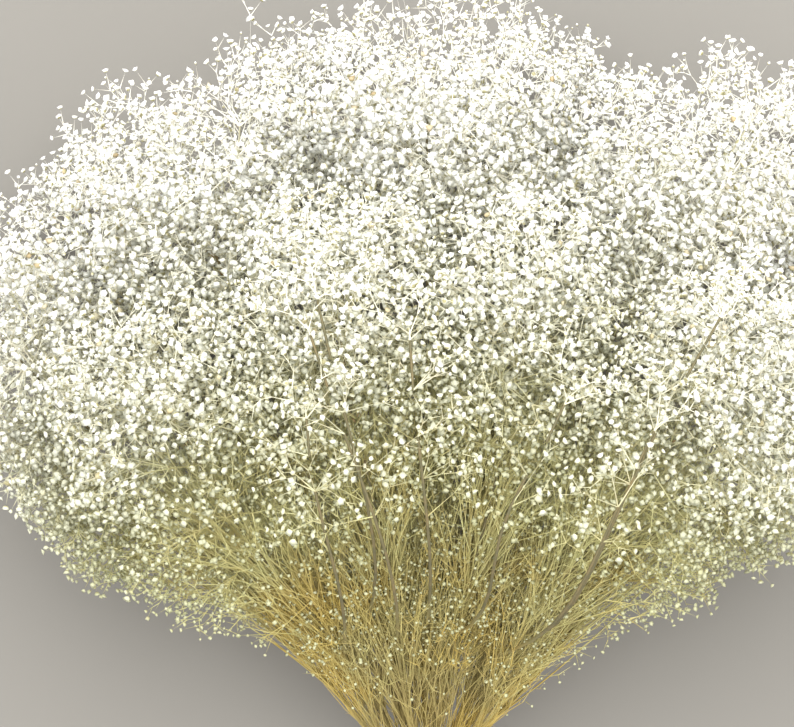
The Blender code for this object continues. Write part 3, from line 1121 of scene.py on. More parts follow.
def bract_pair(growth, place, way, radius, share):
    """Two opposite bracts that lean out from a stalk."""
    hinge = any_hinge(way, growth.rng)
    for side in (-1, 1):
        out = Quaternion(hinge, side * BRACT_LEAN) @ way
        across = (out - out.dot(way) * way).normalized()
        growth.bract(place + across * radius * BRACT_SUNK, out, share)


def dressed_stick(growth, at, length, radii, fine):
    """A branch or twig as a bowed line, and the cluster at its end."""
    rng = growth.rng
    level = first_level(at(1))
    depth = min(CLUSTER_DEPTHS[level], DEEPEST_SHARE * length)
    share = 1 - depth / length
    steps = range(LINE_STEPS + 1)
    places = [at(share * i / LINE_STEPS) for i in steps]
    sizes = [radii[0] + (radii[1] - radii[0]) * i / LINE_STEPS for i in steps]
    growth.line(places, sizes, fine)
    ways = [(b - a).normalized() for a, b in zip(places, places[1:])]
    growth.feet.extend(zip(places[2:], ways[1:]))
    bract_pair(growth, places[1], ways[0], sizes[1], SMALL_BRACT)
    way = ways[-1]
    forking_shoot(growth, places[-1], way, any_hinge(way, rng), END_LENGTH, radii[1], level)


print("a branch has", LINE_STEPS, "steps, and bows by up to", BOW, "of its length")

# %% [markdown]
# ## The main stems
#
# A main stem swells where it forks and thins towards its tip. Below the tie it is bare, with a swollen
# joint or two where leaves once sat. Its line is the solid model's, drawn smooth, with a slow waver above
# the tie, where there is room for it. A last short step at the cut lets the pale pith colour end sharply.

# %% Lines of points
ON_LINE = 1e-5


def along_line(line):
    """A function that gives the point at a share of the length of a line of points, and that length."""
    lengths = [(b - a).length for a, b in zip(line, line[1:])]
    total = sum(lengths)

    def at(share):
        left = share * total
        for (a, b), length in zip(zip(line, line[1:]), lengths):
            if left <= length:
                return a.lerp(b, left / length)
            left -= length
        return line[-1].copy()

    return at, total


def nearest_on_line(place, line):
    """The nearest point of a line of points."""
    feet = [nearest_on(place, a, b)[0] for a, b in zip(line, line[1:])]
    return min(feet, key=lambda p: (p - place).length)


def run_to(place, line):
    """How far along a line of points this place on it is."""
    run = 0
    for a, b in zip(line, line[1:]):
        near, share = nearest_on(place, a, b)
        if (near - place).length < ON_LINE:
            return run + share * (b - a).length
        run += (b - a).length
    return run


print("steps of a line before smoothing:", len(STEMS[0]["line"]) - 1)

# %% Main stem lines
CURVE_STEPS = 4 * STEM_STEPS
WAVER = 0.0050
WAVES = (1.1, 1.9)
WAVER_FROM = 0.05
WAVER_GROWS = 0.3


def smooth_line(stem, rng):
    """The stem's line with its curved part sampled finely, and wavering more and more above the waist."""
    line = stem["line"]
    above, tip = line[2], line[-1]
    bend = bundle_point(BEND_ABOVE_WAIST, stem["side"] * BEND_SPLAY, stem["up"] * BEND_SPLAY)
    hinge = any_hinge(stem["way"], rng)
    phase, waves = rng.uniform(0, math.tau), rng.uniform(*WAVES)
    curve = []
    for i in range(1, CURVE_STEPS + 1):
        t = i / CURVE_STEPS
        swing = WAVER * min(1, max(0, t - WAVER_FROM) / WAVER_GROWS) * (1 - t**4)
        place = curved(above, bend, tip, t)
        curve.append(place + hinge * swing * math.sin(phase + math.tau * waves * t))
    return line[:3] + curve


print("steps of its curve after smoothing:", CURVE_STEPS)

# %% Main stems, thinning and swelling
TRUNK_STEPS = 56
TIP_RADIUS = 0.00052
THINNING = 0.42
JOINT_SWELL = 0.45
JOINT_LENGTH = 0.007
JOINTS_BELOW = (0.30, 0.72)
JOINT_VARIES = 0.13
BRACT_AHEAD = 0.01
BRACT_GROWS = 0.6
CUT_STEP = 0.0003
MAIN = -1.0


def trunk(growth, stem):
    """The main stem as a line with its radii, swollen at its joints. Gives back its fine line."""
    line = smooth_line(stem, growth.rng)
    at, total = along_line(line)
    below = sum((b - a).length for a, b in zip(line[:3], line[1:3]))
    bare = (line[1] - line[0]).length
    joints = [(share + growth.rng.uniform(-1, 1) * JOINT_VARIES) * bare for share in JOINTS_BELOW]
    joints += [run_to(nearest_on_line(branch["root"], line), line) for branch in stem["branches"][:-1]]

    def thinned(run):
        """How far the stem has thinned after this run, and its radius there."""
        thin = max(0, (run - below) / (total - below))
        return thin, STEM_RADIUS + (TIP_RADIUS - STEM_RADIUS) * thin**THINNING

    places, radii = [line[0].copy()], [STEM_RADIUS]
    for i in range(TRUNK_STEPS + 1):
        run = max(CUT_STEP, total * i / TRUNK_STEPS)
        near = min(abs(run - joint) for joint in joints)
        places.append(at(run / total))
        radii.append(thinned(run)[1] * (1 + JOINT_SWELL * max(0, 1 - near / JOINT_LENGTH)))
    growth.line(places, radii, MAIN)
    for joint in joints:
        place, ahead = at(joint / total), at(joint / total + BRACT_AHEAD)
        thin, radius = thinned(joint)
        bract_pair(growth, place, (ahead - place).normalized(), radius, 1.0 + BRACT_GROWS * (1 - thin))
    return line


print("a main stem thins from", round(2000 * STEM_RADIUS, 2), "to", round(2000 * TIP_RADIUS, 2), "mm")

# %% [markdown]
# ## Brooms of thin shoots above the waist
#
# Just above the waist each main stem sends up many thin shoots that fork at narrow angles, like a broom.
# They hold few and small florets, so the neck is a haze of yellow stalks, not of flowers. Straight rods
# between the forks are enough here, because each one turns only a little from the last. Short bare side
# stalks soften the haze.

# %% Bare side stalks
HAIR_RADIUS = 0.00021
HAIR_LENGTHS = (0.006, 0.013)
HAIR_ANGLES = [math.radians(angle) for angle in (22, 62)]
HAIR_FEET = (0.2, 1)
HAIR_SHARE = 0.75
HAIR_FINE = 0.25


def hair(growth, start, end):
    """A short bare side stalk, somewhere on a thin shoot."""
    rng = growth.rng
    foot = start.lerp(end, rng.uniform(*HAIR_FEET))
    way = (end - start).normalized()
    out = Quaternion(any_hinge(way, rng), rng.uniform(*HAIR_ANGLES)) @ way
    tip = lifted(foot + out * rng.uniform(*HAIR_LENGTHS))
    if within_fan(tip, EDGE_LOOSENESS[0]):
        growth.stalk(foot, tip, HAIR_RADIUS, SPIKE_KIND, HAIR_FINE)


print("thin shoots with a side stalk:", HAIR_SHARE)

# %% Brooms
BROOMS = 72
BROOM_FEET = (-0.004, 0.165)
BROOM_LENGTHS = (0.032, 0.027, 0.023, 0.018)
BROOM_RADII = (0.00042, 0.00035, 0.00029, 0.00027)
BROOM_ANGLES = [math.radians(angle) for angle in (10, 15, 22)]
BROOM_VARIES = (0.3, 1.6)
BROOM_FINE = 0.15
BROOM_BARE = 0.25
BARE_TIP_FINE = 0.5
BROOM_CLUSTERS = (4, 5, 5)


def broom(growth, start, way, level):
    """A thin shoot that forks again and again at narrow angles, with small clusters at some ends."""
    rng = growth.rng
    end = lifted(start + way * BROOM_LENGTHS[level] * rng.uniform(*ARM_VARIES))
    if not within_fan(end, EDGE_LOOSENESS[0]):
        return
    last = level + 1 == len(BROOM_LENGTHS)
    kind = SPIKE_KIND if last else ROD_KIND
    growth.stalk(start, end, BROOM_RADII[level], kind, BROOM_FINE * level)
    way = (end - start).normalized()
    if rng.random() < HAIR_SHARE:
        hair(growth, start, end)
    if last:
        if rng.random() > BROOM_BARE:
            level = rng.choice(BROOM_CLUSTERS)
            forking_shoot(growth, end, way, any_hinge(way, rng), END_LENGTH, STALK_RADII[-1], level)
        else:
            growth.stalk(end, end + way * PEDICEL, BROOM_RADII[-1], SPIKE_KIND, BARE_TIP_FINE)
        return
    hinge = any_hinge(way, rng)
    for side in (-1, 1):
        arm = Quaternion(hinge, side * BROOM_ANGLES[level] * rng.uniform(*BROOM_VARIES)) @ way
        broom(growth, end, arm, level + 1)


print("a broom reaches", round(sum(BROOM_LENGTHS), 2), "m")

# %% Brooms of one stem
BROOM_LEAN = math.radians(13)
BROOM_TRIES = 8
BROOM_CLEAR = 0.06
LOOK_AHEAD = 0.02


def brooms(growth, line):
    """The brooms of one main stem."""
    rng = growth.rng
    at, total = along_line(line)
    for _ in range(BROOMS):
        share = (CUT_BELOW_WAIST + rng.uniform(*BROOM_FEET)) / total
        foot, ahead = at(share), at(share + LOOK_AHEAD)
        way = (ahead - foot).normalized()
        for _ in range(BROOM_TRIES):
            leaning = Quaternion(any_hinge(way, rng), BROOM_LEAN * rng.uniform(*BROOM_VARIES)) @ way
            if within_fan(foot + leaning * BROOM_CLEAR, EDGE_LOOSENESS[0]):
                broom(growth, foot, leaning, 0)
                break


print("brooms planned:", BROOMS * len(STEMS))

# %% [markdown]
# ## Long bare shoots over the head
#
# A few main shoots come to the top of the head before they flower, and show there as long thin dark lines
# over the florets. Each one leaves a stem of the upper two rows steeply, arches over, and ends in a
# cluster nearer the rim.

# %% Long bare shoots
SURFACE_FOOT = (0.06, 0.11)
SURFACE_BEND = (0.15, 0.290)
SURFACE_TIP = ((0.24, 0.34), 0.268)
SURFACE_WITHIN = 40
SURFACE_INWARD = 0.8
SURFACE_ASIDE = 14
SURFACE_BEND_ASIDE = 8
SURFACE_SWING = 0.0045
SURFACE_WAVES = (0.7, 1.6)
SURFACE_RADII = (0.00098, 0.00064)


def over_the_head(azimuth, away, height):
    """The point at this azimuth and horizontal distance from the waist, at this height."""
    angle = math.radians(azimuth)
    return Vector((WAIST.x + away * math.sin(angle), WAIST.y + away * math.cos(angle), height))


def surface_shoot(growth, stem, line):
    """A long thin shoot that arches over the top of the head."""
    rng = growth.rng
    at, total = along_line(line)
    foot = at((CUT_BELOW_WAIST + rng.uniform(*SURFACE_FOOT)) / total)
    azimuth = SURFACE_INWARD * stem["azimuth"] + rng.uniform(-SURFACE_ASIDE, SURFACE_ASIDE)
    aside = rng.uniform(-SURFACE_BEND_ASIDE, SURFACE_BEND_ASIDE)
    bend = over_the_head(azimuth - aside, *SURFACE_BEND)
    (nearest, farthest), height = SURFACE_TIP
    tip = over_the_head(azimuth, rng.uniform(nearest, farthest), height)
    swing = SURFACE_SWING * (tip - foot).cross(Vector((0, 0, 1))).normalized()
    waves = math.tau * rng.uniform(*SURFACE_WAVES)

    def arched(t):
        return curved(foot, bend, tip, t) + swing * math.sin(waves * t)

    dressed_stick(growth, arched, (tip - foot).length, SURFACE_RADII, MAIN)


print("they arch up to", SURFACE_TIP[1], "m above the table")

# %% [markdown]
# ## Thin shoots along the sides
#
# The lowest shoots on both sides of the fan run almost straight out. They are fine and nearly bare, with
# a small cluster at the tip.

# %% Side shoots of the outer stems
OUTER_STEMS_FROM = 20
SIDE_SHOOTS = 5
SIDE_FEET = (0.05, 0.10)
SIDE_AZIMUTHS = (37, 46)
SIDE_REACH = (0.14, 0.21)
SIDE_RISE = (0.00, 0.06)
SIDE_RADII = (0.00046, 0.00028)
SIDE_FINE = 0.8


def side_shoots(growth, stem, line):
    """Fine shoots from an outer stem towards its side of the fan."""
    rng = growth.rng
    at, total = along_line(line)
    for _ in range(SIDE_SHOOTS):
        foot = at((CUT_BELOW_WAIST + rng.uniform(*SIDE_FEET)) / total)
        azimuth = math.copysign(rng.uniform(*SIDE_AZIMUTHS), stem["azimuth"])
        tip = over_the_head(azimuth, rng.uniform(*SIDE_REACH), foot.z + rng.uniform(*SIDE_RISE))
        dressed_stick(growth, bowed(foot, tip, rng), (tip - foot).length, SIDE_RADII, SIDE_FINE)


print("side shoots on each outer stem:", SIDE_SHOOTS)

# %% [markdown]
# ## Growing every stem
#
# Each stem gets everything above, in the same order: its own line first, then its brooms, its long or
# side shoots, and last the solid model's branches and twigs, with a cluster at the end of each. Every
# stem has a random generator of its own, with its own seed, so a change to one stem leaves the others as
# they are.

# %% Growing every stem


def grow_stem(stem):
    """Everything that grows on one main stem."""
    growth = Growth(f"{SEED}-florets-{stem['name']}")
    line = trunk(growth, stem)
    brooms(growth, line)
    if stem["elevation"] > 0 and abs(stem["azimuth"]) < SURFACE_WITHIN:
        surface_shoot(growth, stem, line)
    if abs(stem["azimuth"]) > OUTER_STEMS_FROM:
        side_shoots(growth, stem, line)
    for branch in stem["branches"]:
        root = nearest_on_line(branch["root"], line)
        at = bowed(root, branch["tip"], growth.rng)
        dressed_stick(growth, at, (branch["tip"] - root).length, BRANCH_RADII, BRANCH_FINE)
        for share, place in branch["twigs"]:
            foot = at(share)
            twig_at = bowed(foot, place, growth.rng)
            dressed_stick(growth, twig_at, (place - foot).length, TWIG_RADII, TWIG_FINE)
    return growth


GROWTHS = {stem["name"]: grow_stem(stem) for stem in STEMS}
print("florets so far:", sum(len(growth.florets) for growth in GROWTHS.values()))

# %% [markdown]
# ## Loose sprays at the rim
#
# The rim of a dried head is never smooth. Single sprays stand out of it, so airy that every fork shows.
# Each one leaves a twig behind the rim and is allowed to pass it by two centimetres.

# %% Loose sprays at the rim
SPRAYS = 90
SPRAY_FAN = 55
SPRAY_ASIDE = 3.0
SPRAY_BEHIND = (0.020, 0.060)
SPRAY_REACH = (-0.008, 0.006)
SPRAY_RISE = (-0.010, 0.018)
SPRAY_BEYOND = 0.020
SPRAY_LEVELS = (1, 2, 2, 3)
SHOOT_DEPTHS = {1: 0.019, 2: 0.013, 3: 0.008}


def rim_feet(growths):
    """The points of branches and twigs a little behind the rim, with their growth and their azimuth."""
    found = []
    for growth in growths:
        for place, _ in growth.feet:
            azimuth, away = seen_from_above(place)
            behind = ragged_rim(azimuth) - away
            if SPRAY_BEHIND[0] < behind < SPRAY_BEHIND[1]:
                found.append((growth, place, azimuth))
    return found


def grow_sprays(growths):
    """Sprays at even steps along the rim, each from a random foot near its azimuth."""
    rng = random.Random(f"{SEED}-sprays")
    feet = rim_feet(growths)
    grown_sprays = 0
    for i in range(SPRAYS):
        azimuth = SPRAY_FAN * (2 * (i + rng.random()) / SPRAYS - 1)
        near = [found for found in feet if abs(found[2] - azimuth) < SPRAY_ASIDE]
        if not near:
            continue
        growth, foot, _ = rng.choice(near)
        away = ragged_rim(azimuth) + rng.uniform(*SPRAY_REACH)
        aim = over_the_head(azimuth, away, foot.z + rng.uniform(*SPRAY_RISE))
        way = (aim - foot).normalized()
        level = rng.choice(SPRAY_LEVELS)
        length = max(END_LENGTH, (aim - foot).length - SHOOT_DEPTHS[level])
        growth.beyond = SPRAY_BEYOND
        forking_shoot(growth, foot, way, any_hinge(way, rng), length, STALK_RADII[0], level)
        growth.beyond = 0
        grown_sprays += 1
    print("sprays at the rim:", grown_sprays, "of", SPRAYS)


grow_sprays(list(GROWTHS.values()))

# %% [markdown]
# ## Filling the gaps
#
# A real head has no holes, because a shoot grows wherever there is light. So the plan of the bunch is
# divided into small cells, the florets over each cell are counted, and where there are too few, a side
# shoot grows towards the cell from a branch that passes behind it. Of several possible feet, the one with
# the fewest florets round its target wins, so the shoots spread through the depth of the head as well.
# Higher targets have a head start, because the top of the head is what the eye meets first.

# %% How much cover is wanted
CELL = 0.006
PLAN_HEIGHT = 0.1
FULL_COVER = 2.75
COVER_FROM = 0.12
COVER_FULL = 0.275
AIRY_FROM = 0.88
AIRY_COVER = 0.32

def cell_of(place, count):
    """The cell of a grid that a place is in, in two or three directions."""
    return tuple(math.floor(place[k] / CELL) for k in range(count))


def wanted_cover(cell):
    """How many layers of florets should lie over a cell of the plan."""
    place = ((cell[0] + 0.5) * CELL, (cell[1] + 0.5) * CELL, PLAN_HEIGHT)
    azimuth, away = seen_from_above(place)
    if not within_fan(place):
        return 0
    share = min(1, max(0, (away - COVER_FROM) / (COVER_FULL - COVER_FROM)))
    airy = AIRY_COVER if away > AIRY_FROM * ragged_rim(azimuth) else 1
    return FULL_COVER * airy * share * share * (3 - 2 * share)


print("full cover:", FULL_COVER, "layers, over cells of", 1000 * CELL, "mm")

# %% Counting the florets
SEEN_SHARE = 2.7
NEXT_TO = (-1, 0, 1)


class Cover:
    """How many florets lie over each cell of the plan, and in each cell of the space."""

    def __init__(self, growths):
        self.layers = {}
        self.crowd = {}
        self.count = 0
        for growth in growths:
            self.add(growth.florets)

    def add(self, florets):
        for place, _, size, *_ in florets:
            flat, solid = cell_of(place, 2), cell_of(place, 3)
            self.layers[flat] = self.layers.get(flat, 0) + SEEN_SHARE * (size[0] / CELL) ** 2
            self.crowd[solid] = self.crowd.get(solid, 0) + 1
        self.count += len(florets)

    def crowded(self, place):
        """The florets in the cells next to a place."""
        x, y, z = cell_of(place, 3)
        around = ((x + i, y + j, z + k) for i in NEXT_TO for j in NEXT_TO for k in NEXT_TO)
        return sum(self.crowd.get(cell, 0) for cell in around)


def feet_by_cell(growths):
    """The points of all branches and twigs, by the cell of the plan that they are in."""
    found = {}
    for growth in growths:
        for place, way in growth.feet:
            found.setdefault(cell_of(place, 2), []).append((growth, place, way))
    return found


print("points where a side shoot may start:", sum(len(growth.feet) for growth in GROWTHS.values()))

# %% The best foot for a side shoot
FEET_CELLS = 4
FEET_TRIED = 12
TOP_FAVOUR = 32
SHOOT_RISE = (-0.5, 0.9)
FORWARD = 0.1
SHORTEST_SHOOT = 0.004


def best_foot(cell, feet, cover, depth, rng):
    """The foot and the target of a shoot that brings florets over this cell, or None."""
    near = []
    for i in range(-FEET_CELLS, FEET_CELLS + 1):
        for j in range(-FEET_CELLS, FEET_CELLS + 1):
            near.extend(feet.get((cell[0] + i, cell[1] + j), ()))
    best = None
    for growth, foot, way in rng.sample(near, min(FEET_TRIED, len(near))):
        aim = Vector(((cell[0] + rng.random()) * CELL, (cell[1] + rng.random()) * CELL, foot.z))
        aim.z += (aim - foot).length * rng.uniform(*SHOOT_RISE)
        toward = aim - foot
        if toward.length < depth + SHORTEST_SHOOT or toward.normalized().dot(way) < FORWARD:
            continue
        crowd = cover.crowded(aim) - TOP_FAVOUR * aim.z
        if best is None or crowd < best[0]:
            best = (crowd, growth, foot, toward)
    return best


print("feet tried for each side shoot:", FEET_TRIED)

# %% Side shoots where there is room
MOST_FLORETS = 50000
# Each round has the share of the cover that it fills to, and the fork that its shoots start from.
FILL_ROUNDS = ((0.35, 2), (0.55, 2), (0.75, 3), (0.9, 3), (1.0, 3), (1.15, 3))
THIN = 0.5


def fill_gaps(growths):
    """Grows side shoots until every cell is covered or the head holds as many florets as it may."""
    rng = random.Random(f"{SEED}-gaps")
    cover, feet = Cover(growths), feet_by_cell(growths)
    columns = range(math.floor(CAD_BOX[0][0] / CELL), math.ceil(CAD_BOX[1][0] / CELL))
    rows = range(math.floor(CAD_BOX[0][1] / CELL), math.ceil(CAD_BOX[1][1] / CELL))
    wanted = {(x, y): wanted_cover((x, y)) for x in columns for y in rows}
    cells = [cell for cell, layers in wanted.items() if layers > 0]
    for share, level in FILL_ROUNDS:
        depth = SHOOT_DEPTHS[level]
        rng.shuffle(cells)
        for cell in cells:
            if cover.layers.get(cell, 0) >= share * wanted[cell] or cover.count >= MOST_FLORETS:
                continue
            found = best_foot(cell, feet, cover, depth, rng)
            if found:
                _, growth, foot, toward = found
                before = len(growth.florets)
                way = toward.normalized()
                length = toward.length - depth
                forking_shoot(growth, foot, way, any_hinge(way, rng), length, STALK_RADII[0], level)
                cover.add(growth.florets[before:])
        print("round", share, "florets", cover.count)
    thin = [cell for cell in cells if cover.layers.get(cell, 0) < THIN * wanted[cell]]
    print("cells:", len(cells), "still thin:", len(thin))


fill_gaps(list(GROWTHS.values()))
print("florets:", sum(len(growth.florets) for growth in GROWTHS.values()))
print("stalks:", sum(len(growth.stalks) for growth in GROWTHS.values()))

# %% [markdown]
# ## Copies on points
#
# Geometry Nodes set a small shape on every point. The copies are realised into plain faces at the end,
# because only real faces can be exported. The trees share one group for the copies, and one helper for
# that end.

# %% The group that sets shapes on points


def named(tree, name, kind):
    """The socket that reads a named attribute inside Geometry Nodes."""
    made = node(tree, "GeometryNodeInputNamedAttribute", data_type=kind)
    made.inputs["Name"].default_value = name
    return made.outputs["Attribute"]


def shapes_on_points_group():
    tree = bpy.data.node_groups.new("shapes_on_points", "GeometryNodeTree")
    given, result = group_sockets(
        tree,
        (("Points", "NodeSocketGeometry", None), ("Kit", "NodeSocketCollection", None)),
        (("Geometry", "NodeSocketGeometry"),),
    )
    apart = {"Separate Children": True, "Reset Children": True}
    kit = node(tree, "GeometryNodeCollectionInfo", inputs=apart)
    aim = node(tree, "FunctionNodeAlignRotationToVector", axis="Z")
    about = node(tree, "FunctionNodeAxisAngleToRotation", inputs={"Axis": (0, 0, 1)})
    spin = node(tree, "FunctionNodeRotateRotation", rotation_space="LOCAL")
    copies = node(tree, "GeometryNodeInstanceOnPoints", inputs={"Pick Instance": True})
    real = node(tree, "GeometryNodeRealizeInstances")
    link_all(
        tree,
        (given.outputs["Kit"], kit.inputs["Collection"]),
        (named(tree, "way", "FLOAT_VECTOR"), aim.inputs["Vector"]),
        (named(tree, "spin", "FLOAT"), about.inputs["Angle"]),
        (aim.outputs["Rotation"], spin.inputs["Rotation"]),
        (about.outputs["Rotation"], spin.inputs["Rotate By"]),
        (given.outputs["Points"], copies.inputs["Points"]),
        (kit.outputs["Instances"], copies.inputs["Instance"]),
        (named(tree, "kind", "INT"), copies.inputs["Instance Index"]),
        (spin.outputs["Rotation"], copies.inputs["Rotation"]),
        (named(tree, "size", "FLOAT_VECTOR"), copies.inputs["Scale"]),
        (copies.outputs["Instances"], real.inputs["Geometry"]),
        (real.outputs["Geometry"], result.inputs["Geometry"]),
    )
    return tree


SHAPES_ON_POINTS = shapes_on_points_group()
print("shared group:", SHAPES_ON_POINTS.name)

# %% The start and the end of every tree


def piece_tree(name, inputs):
    """A tree for a modifier, with geometry in and out, these inputs and a finish, and its two end nodes."""
    tree = bpy.data.node_groups.new(name, "GeometryNodeTree")
    tree.is_modifier = True
    first = ("Geometry", "NodeSocketGeometry", None)
    last = ("Finish", "NodeSocketMaterial", None)
    given, result = group_sockets(tree, (first, *inputs, last), (("Geometry", "NodeSocketGeometry"),))
    return tree, given, result


def real_and_finished(tree, given, geometry, result):
    """Makes all copies real, gives them the finish, and sends them out of the tree."""
    real = node(tree, "GeometryNodeRealizeInstances")
    finish = node(tree, "GeometryNodeSetMaterial")
    link_all(
        tree,
        (geometry, real.inputs["Geometry"]),
        (real.outputs["Geometry"], finish.inputs["Geometry"]),
        (given.outputs["Finish"], finish.inputs["Material"]),
        (finish.outputs["Geometry"], result.inputs["Geometry"]),
    )


# %% The florets tree


def florets_tree():
    """Sets florets on points and gives them their finish."""
    tree, given, result = piece_tree("florets", (("Kit", "NodeSocketCollection", None),))
    copies = node(tree, "GeometryNodeGroup", node_tree=SHAPES_ON_POINTS)
    smooth = node(tree, "GeometryNodeSetShadeSmooth")
    link_all(
        tree,
        (given.outputs["Geometry"], copies.inputs["Points"]),
        (given.outputs["Kit"], copies.inputs["Kit"]),
        (copies.outputs["Geometry"], smooth.inputs["Geometry"]),
    )
    real_and_finished(tree, given, smooth.outputs["Geometry"], result)
    return tree


FLORETS_TREE = florets_tree()
print("tree:", FLORETS_TREE.name)

# %% The stalks tree
STEM_SIDES = 9
TWIG_SIDES = 4
THICK_FROM = 0.0007


def stalks_tree():
    """Turns lines into round stalks, adds thin rods and spikes on points, and gives both their finish."""
    inputs = (
        ("Points", "NodeSocketObject", None),
        ("Kit", "NodeSocketCollection", None),
        ("Stem Sides", "NodeSocketInt", STEM_SIDES),
        ("Twig Sides", "NodeSocketInt", TWIG_SIDES),
        ("Thick From", "NodeSocketFloat", THICK_FROM),
    )
    tree, given, result = piece_tree("stalks", inputs)
    joined = node(tree, "GeometryNodeJoinGeometry")
    thick = node(tree, "FunctionNodeCompare", data_type="FLOAT", operation="GREATER_THAN")
    split = node(tree, "GeometryNodeSeparateGeometry", domain="POINT")
    link_all(
        tree,
        (named(tree, "radius", "FLOAT"), thick.inputs["A"]),
        (given.outputs["Thick From"], thick.inputs["B"]),
        (given.outputs["Geometry"], split.inputs["Geometry"]),
        (thick.outputs["Result"], split.inputs["Selection"]),
    )
    for part, sides in (("Selection", "Stem Sides"), ("Inverted", "Twig Sides")):
        curve = node(tree, "GeometryNodeMeshToCurve")
        outline = node(tree, "GeometryNodeCurvePrimitiveCircle", inputs={"Radius": 1.0})
        skin = node(tree, "GeometryNodeCurveToMesh", inputs={"Fill Caps": True})
        smooth = node(tree, "GeometryNodeSetShadeSmooth")
        link_all(
            tree,
            (split.outputs[part], curve.inputs["Mesh"]),
            (given.outputs[sides], outline.inputs["Resolution"]),
            (curve.outputs["Curve"], skin.inputs["Curve"]),
            (outline.outputs["Curve"], skin.inputs["Profile Curve"]),
            (named(tree, "radius", "FLOAT"), skin.inputs["Scale"]),
            (skin.outputs["Mesh"], smooth.inputs["Geometry"]),
            (smooth.outputs["Geometry"], joined.inputs["Geometry"]),
        )
    points = node(tree, "GeometryNodeObjectInfo")
    copies = node(tree, "GeometryNodeGroup", node_tree=SHAPES_ON_POINTS)
    link_all(
        tree,
        (given.outputs["Points"], points.inputs["Object"]),
        (points.outputs["Geometry"], copies.inputs["Points"]),
        (given.outputs["Kit"], copies.inputs["Kit"]),
        (copies.outputs["Geometry"], joined.inputs["Geometry"]),
    )
    real_and_finished(tree, given, joined.outputs["Geometry"], result)
    return tree


STALKS_TREE = stalks_tree()
print("tree:", STALKS_TREE.name)

# %% [markdown]
# ## Making the pieces
#
# Each stem becomes three pieces: its stalks, its florets and its bracts. A piece starts as bare points or
# lines with attributes. The modifier's inputs are set, the result is copied into a plain mesh, and the
# modifier's object is thrown away.

# %% Points and lines with attributes


def attribute(mesh, name, kind, values):
    """Stores one value for each vertex."""
    made = mesh.attributes.new(name, kind, "POINT")
    if kind == "FLOAT_VECTOR":
        made.data.foreach_set("vector", [number for value in values for number in value])
    else:
        made.data.foreach_set("value", list(values))


def point_object(name, points):
    """Bare points that carry what their copies need. The last number is a tone, or how fine a stalk is."""
    places, ways, sizes, kinds, turns, shares = zip(*points)
    mesh = bpy.data.meshes.new(name)
    mesh.from_pydata(places, [], [])
    attribute(mesh, "way", "FLOAT_VECTOR", ways)
    attribute(mesh, "size", "FLOAT_VECTOR", sizes)
    attribute(mesh, "kind", "INT", kinds)
    attribute(mesh, "spin", "FLOAT", turns)
    attribute(mesh, "tone", "FLOAT", shares)
    attribute(mesh, "fine", "FLOAT", shares)
    return bpy.data.objects.new(name, mesh)


def line_object(name, lines):
    """Lines as vertices and edges, with a radius at each vertex. A mark goes on a main stem's cut end."""
    places, edges, radii, fine, cut = [], [], [], [], []
    for points, sizes, share in lines:
        start = len(places)
        cut.extend([float(sizes[0] == STEM_RADIUS)] + [0.0] * (len(points) - 1))
        places.extend(points)
        radii.extend(sizes)
        fine.extend([share] * len(points))
        edges.extend((start + i, start + i + 1) for i in range(len(points) - 1))
    mesh = bpy.data.meshes.new(name)
    mesh.from_pydata(places, edges, [])
    attribute(mesh, "radius", "FLOAT", radii)
    attribute(mesh, "fine", "FLOAT", fine)
    attribute(mesh, "cut", "FLOAT", cut)
    return bpy.data.objects.new(name, mesh)


# %% From a tree to a piece


def in_scene(made):
    """Puts an object in the scene, and gives it back."""
    bpy.context.scene.collection.objects.link(made)
    return made


def set_inputs(modifier, values):
    """Sets a modifier's inputs by the identifiers of the sockets that have these names."""
    for item in modifier.node_group.interface.items_tree:
        if item.item_type == "SOCKET" and item.in_out == "INPUT" and item.name in values:
            modifier[item.identifier] = values[item.name]


def made_piece(name, base, tree, values):
    """Runs a tree on an object, and gives back the result as a plain mesh object of this name."""
    in_scene(base)
    modifier = base.modifiers.new("grow", "NODES")
    modifier.node_group = tree
    set_inputs(modifier, values)
    graph = bpy.context.evaluated_depsgraph_get()
    mesh = bpy.data.meshes.new_from_object(base.evaluated_get(graph), depsgraph=graph)
    mesh.name = name
    base.modifiers.remove(modifier)
    bpy.data.objects.remove(base)
    return in_scene(bpy.data.objects.new(name, mesh))


def triangle_count(piece):
    """How many triangles a piece has."""
    piece.data.calc_loop_triangles()
    return len(piece.data.loop_triangles)


# %% Florets, stalks and bracts of every stem
TRIANGLES = {}
for stem_name, growth in GROWTHS.items():
    florets = made_piece(
        stem_name + "_florets",
        point_object("floret_points", growth.florets),
        FLORETS_TREE,
        {"Kit": FLORET_KIT, "Finish": FLORET_FINISH},
    )
    stalk_points = in_scene(point_object("stalk_points", growth.stalks))
    stalks = made_piece(
        stem_name + "_stalks",
        line_object("stalk_lines", growth.lines),
        STALKS_TREE,
        {"Points": stalk_points, "Kit": STALK_KIT, "Finish": STALK_FINISH},
    )
    bpy.data.objects.remove(stalk_points)
    bracts = made_piece(
        stem_name + "_bracts",
        point_object("bract_points", growth.bracts),
        FLORETS_TREE,
        {"Kit": BRACT_KIT, "Finish": BRACT_FINISH},
    )
    for piece in (florets, stalks, bracts):
        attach(piece, "root")
        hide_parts(stem_name)
        TRIANGLES[piece.name] = triangle_count(piece)

print("triangles:", sum(TRIANGLES.values()), "most in a piece:", max(TRIANGLES.values()))

# %% [markdown]
# ## Twine
#
# Jute twine is three thin plies twisted together. A curve swept with a profile of three small circles,
# tilted more and more along its length, twists by itself. The same path as the solid tie keeps it tight
# on the outer stems. The solid's round lump becomes a real knot here, a curve that winds through itself.

# %% Twine finish
TWINE_COLOUR = (0.50, 0.36, 0.19, 1)
TWINE_OLD = (0.24, 0.15, 0.07, 1)


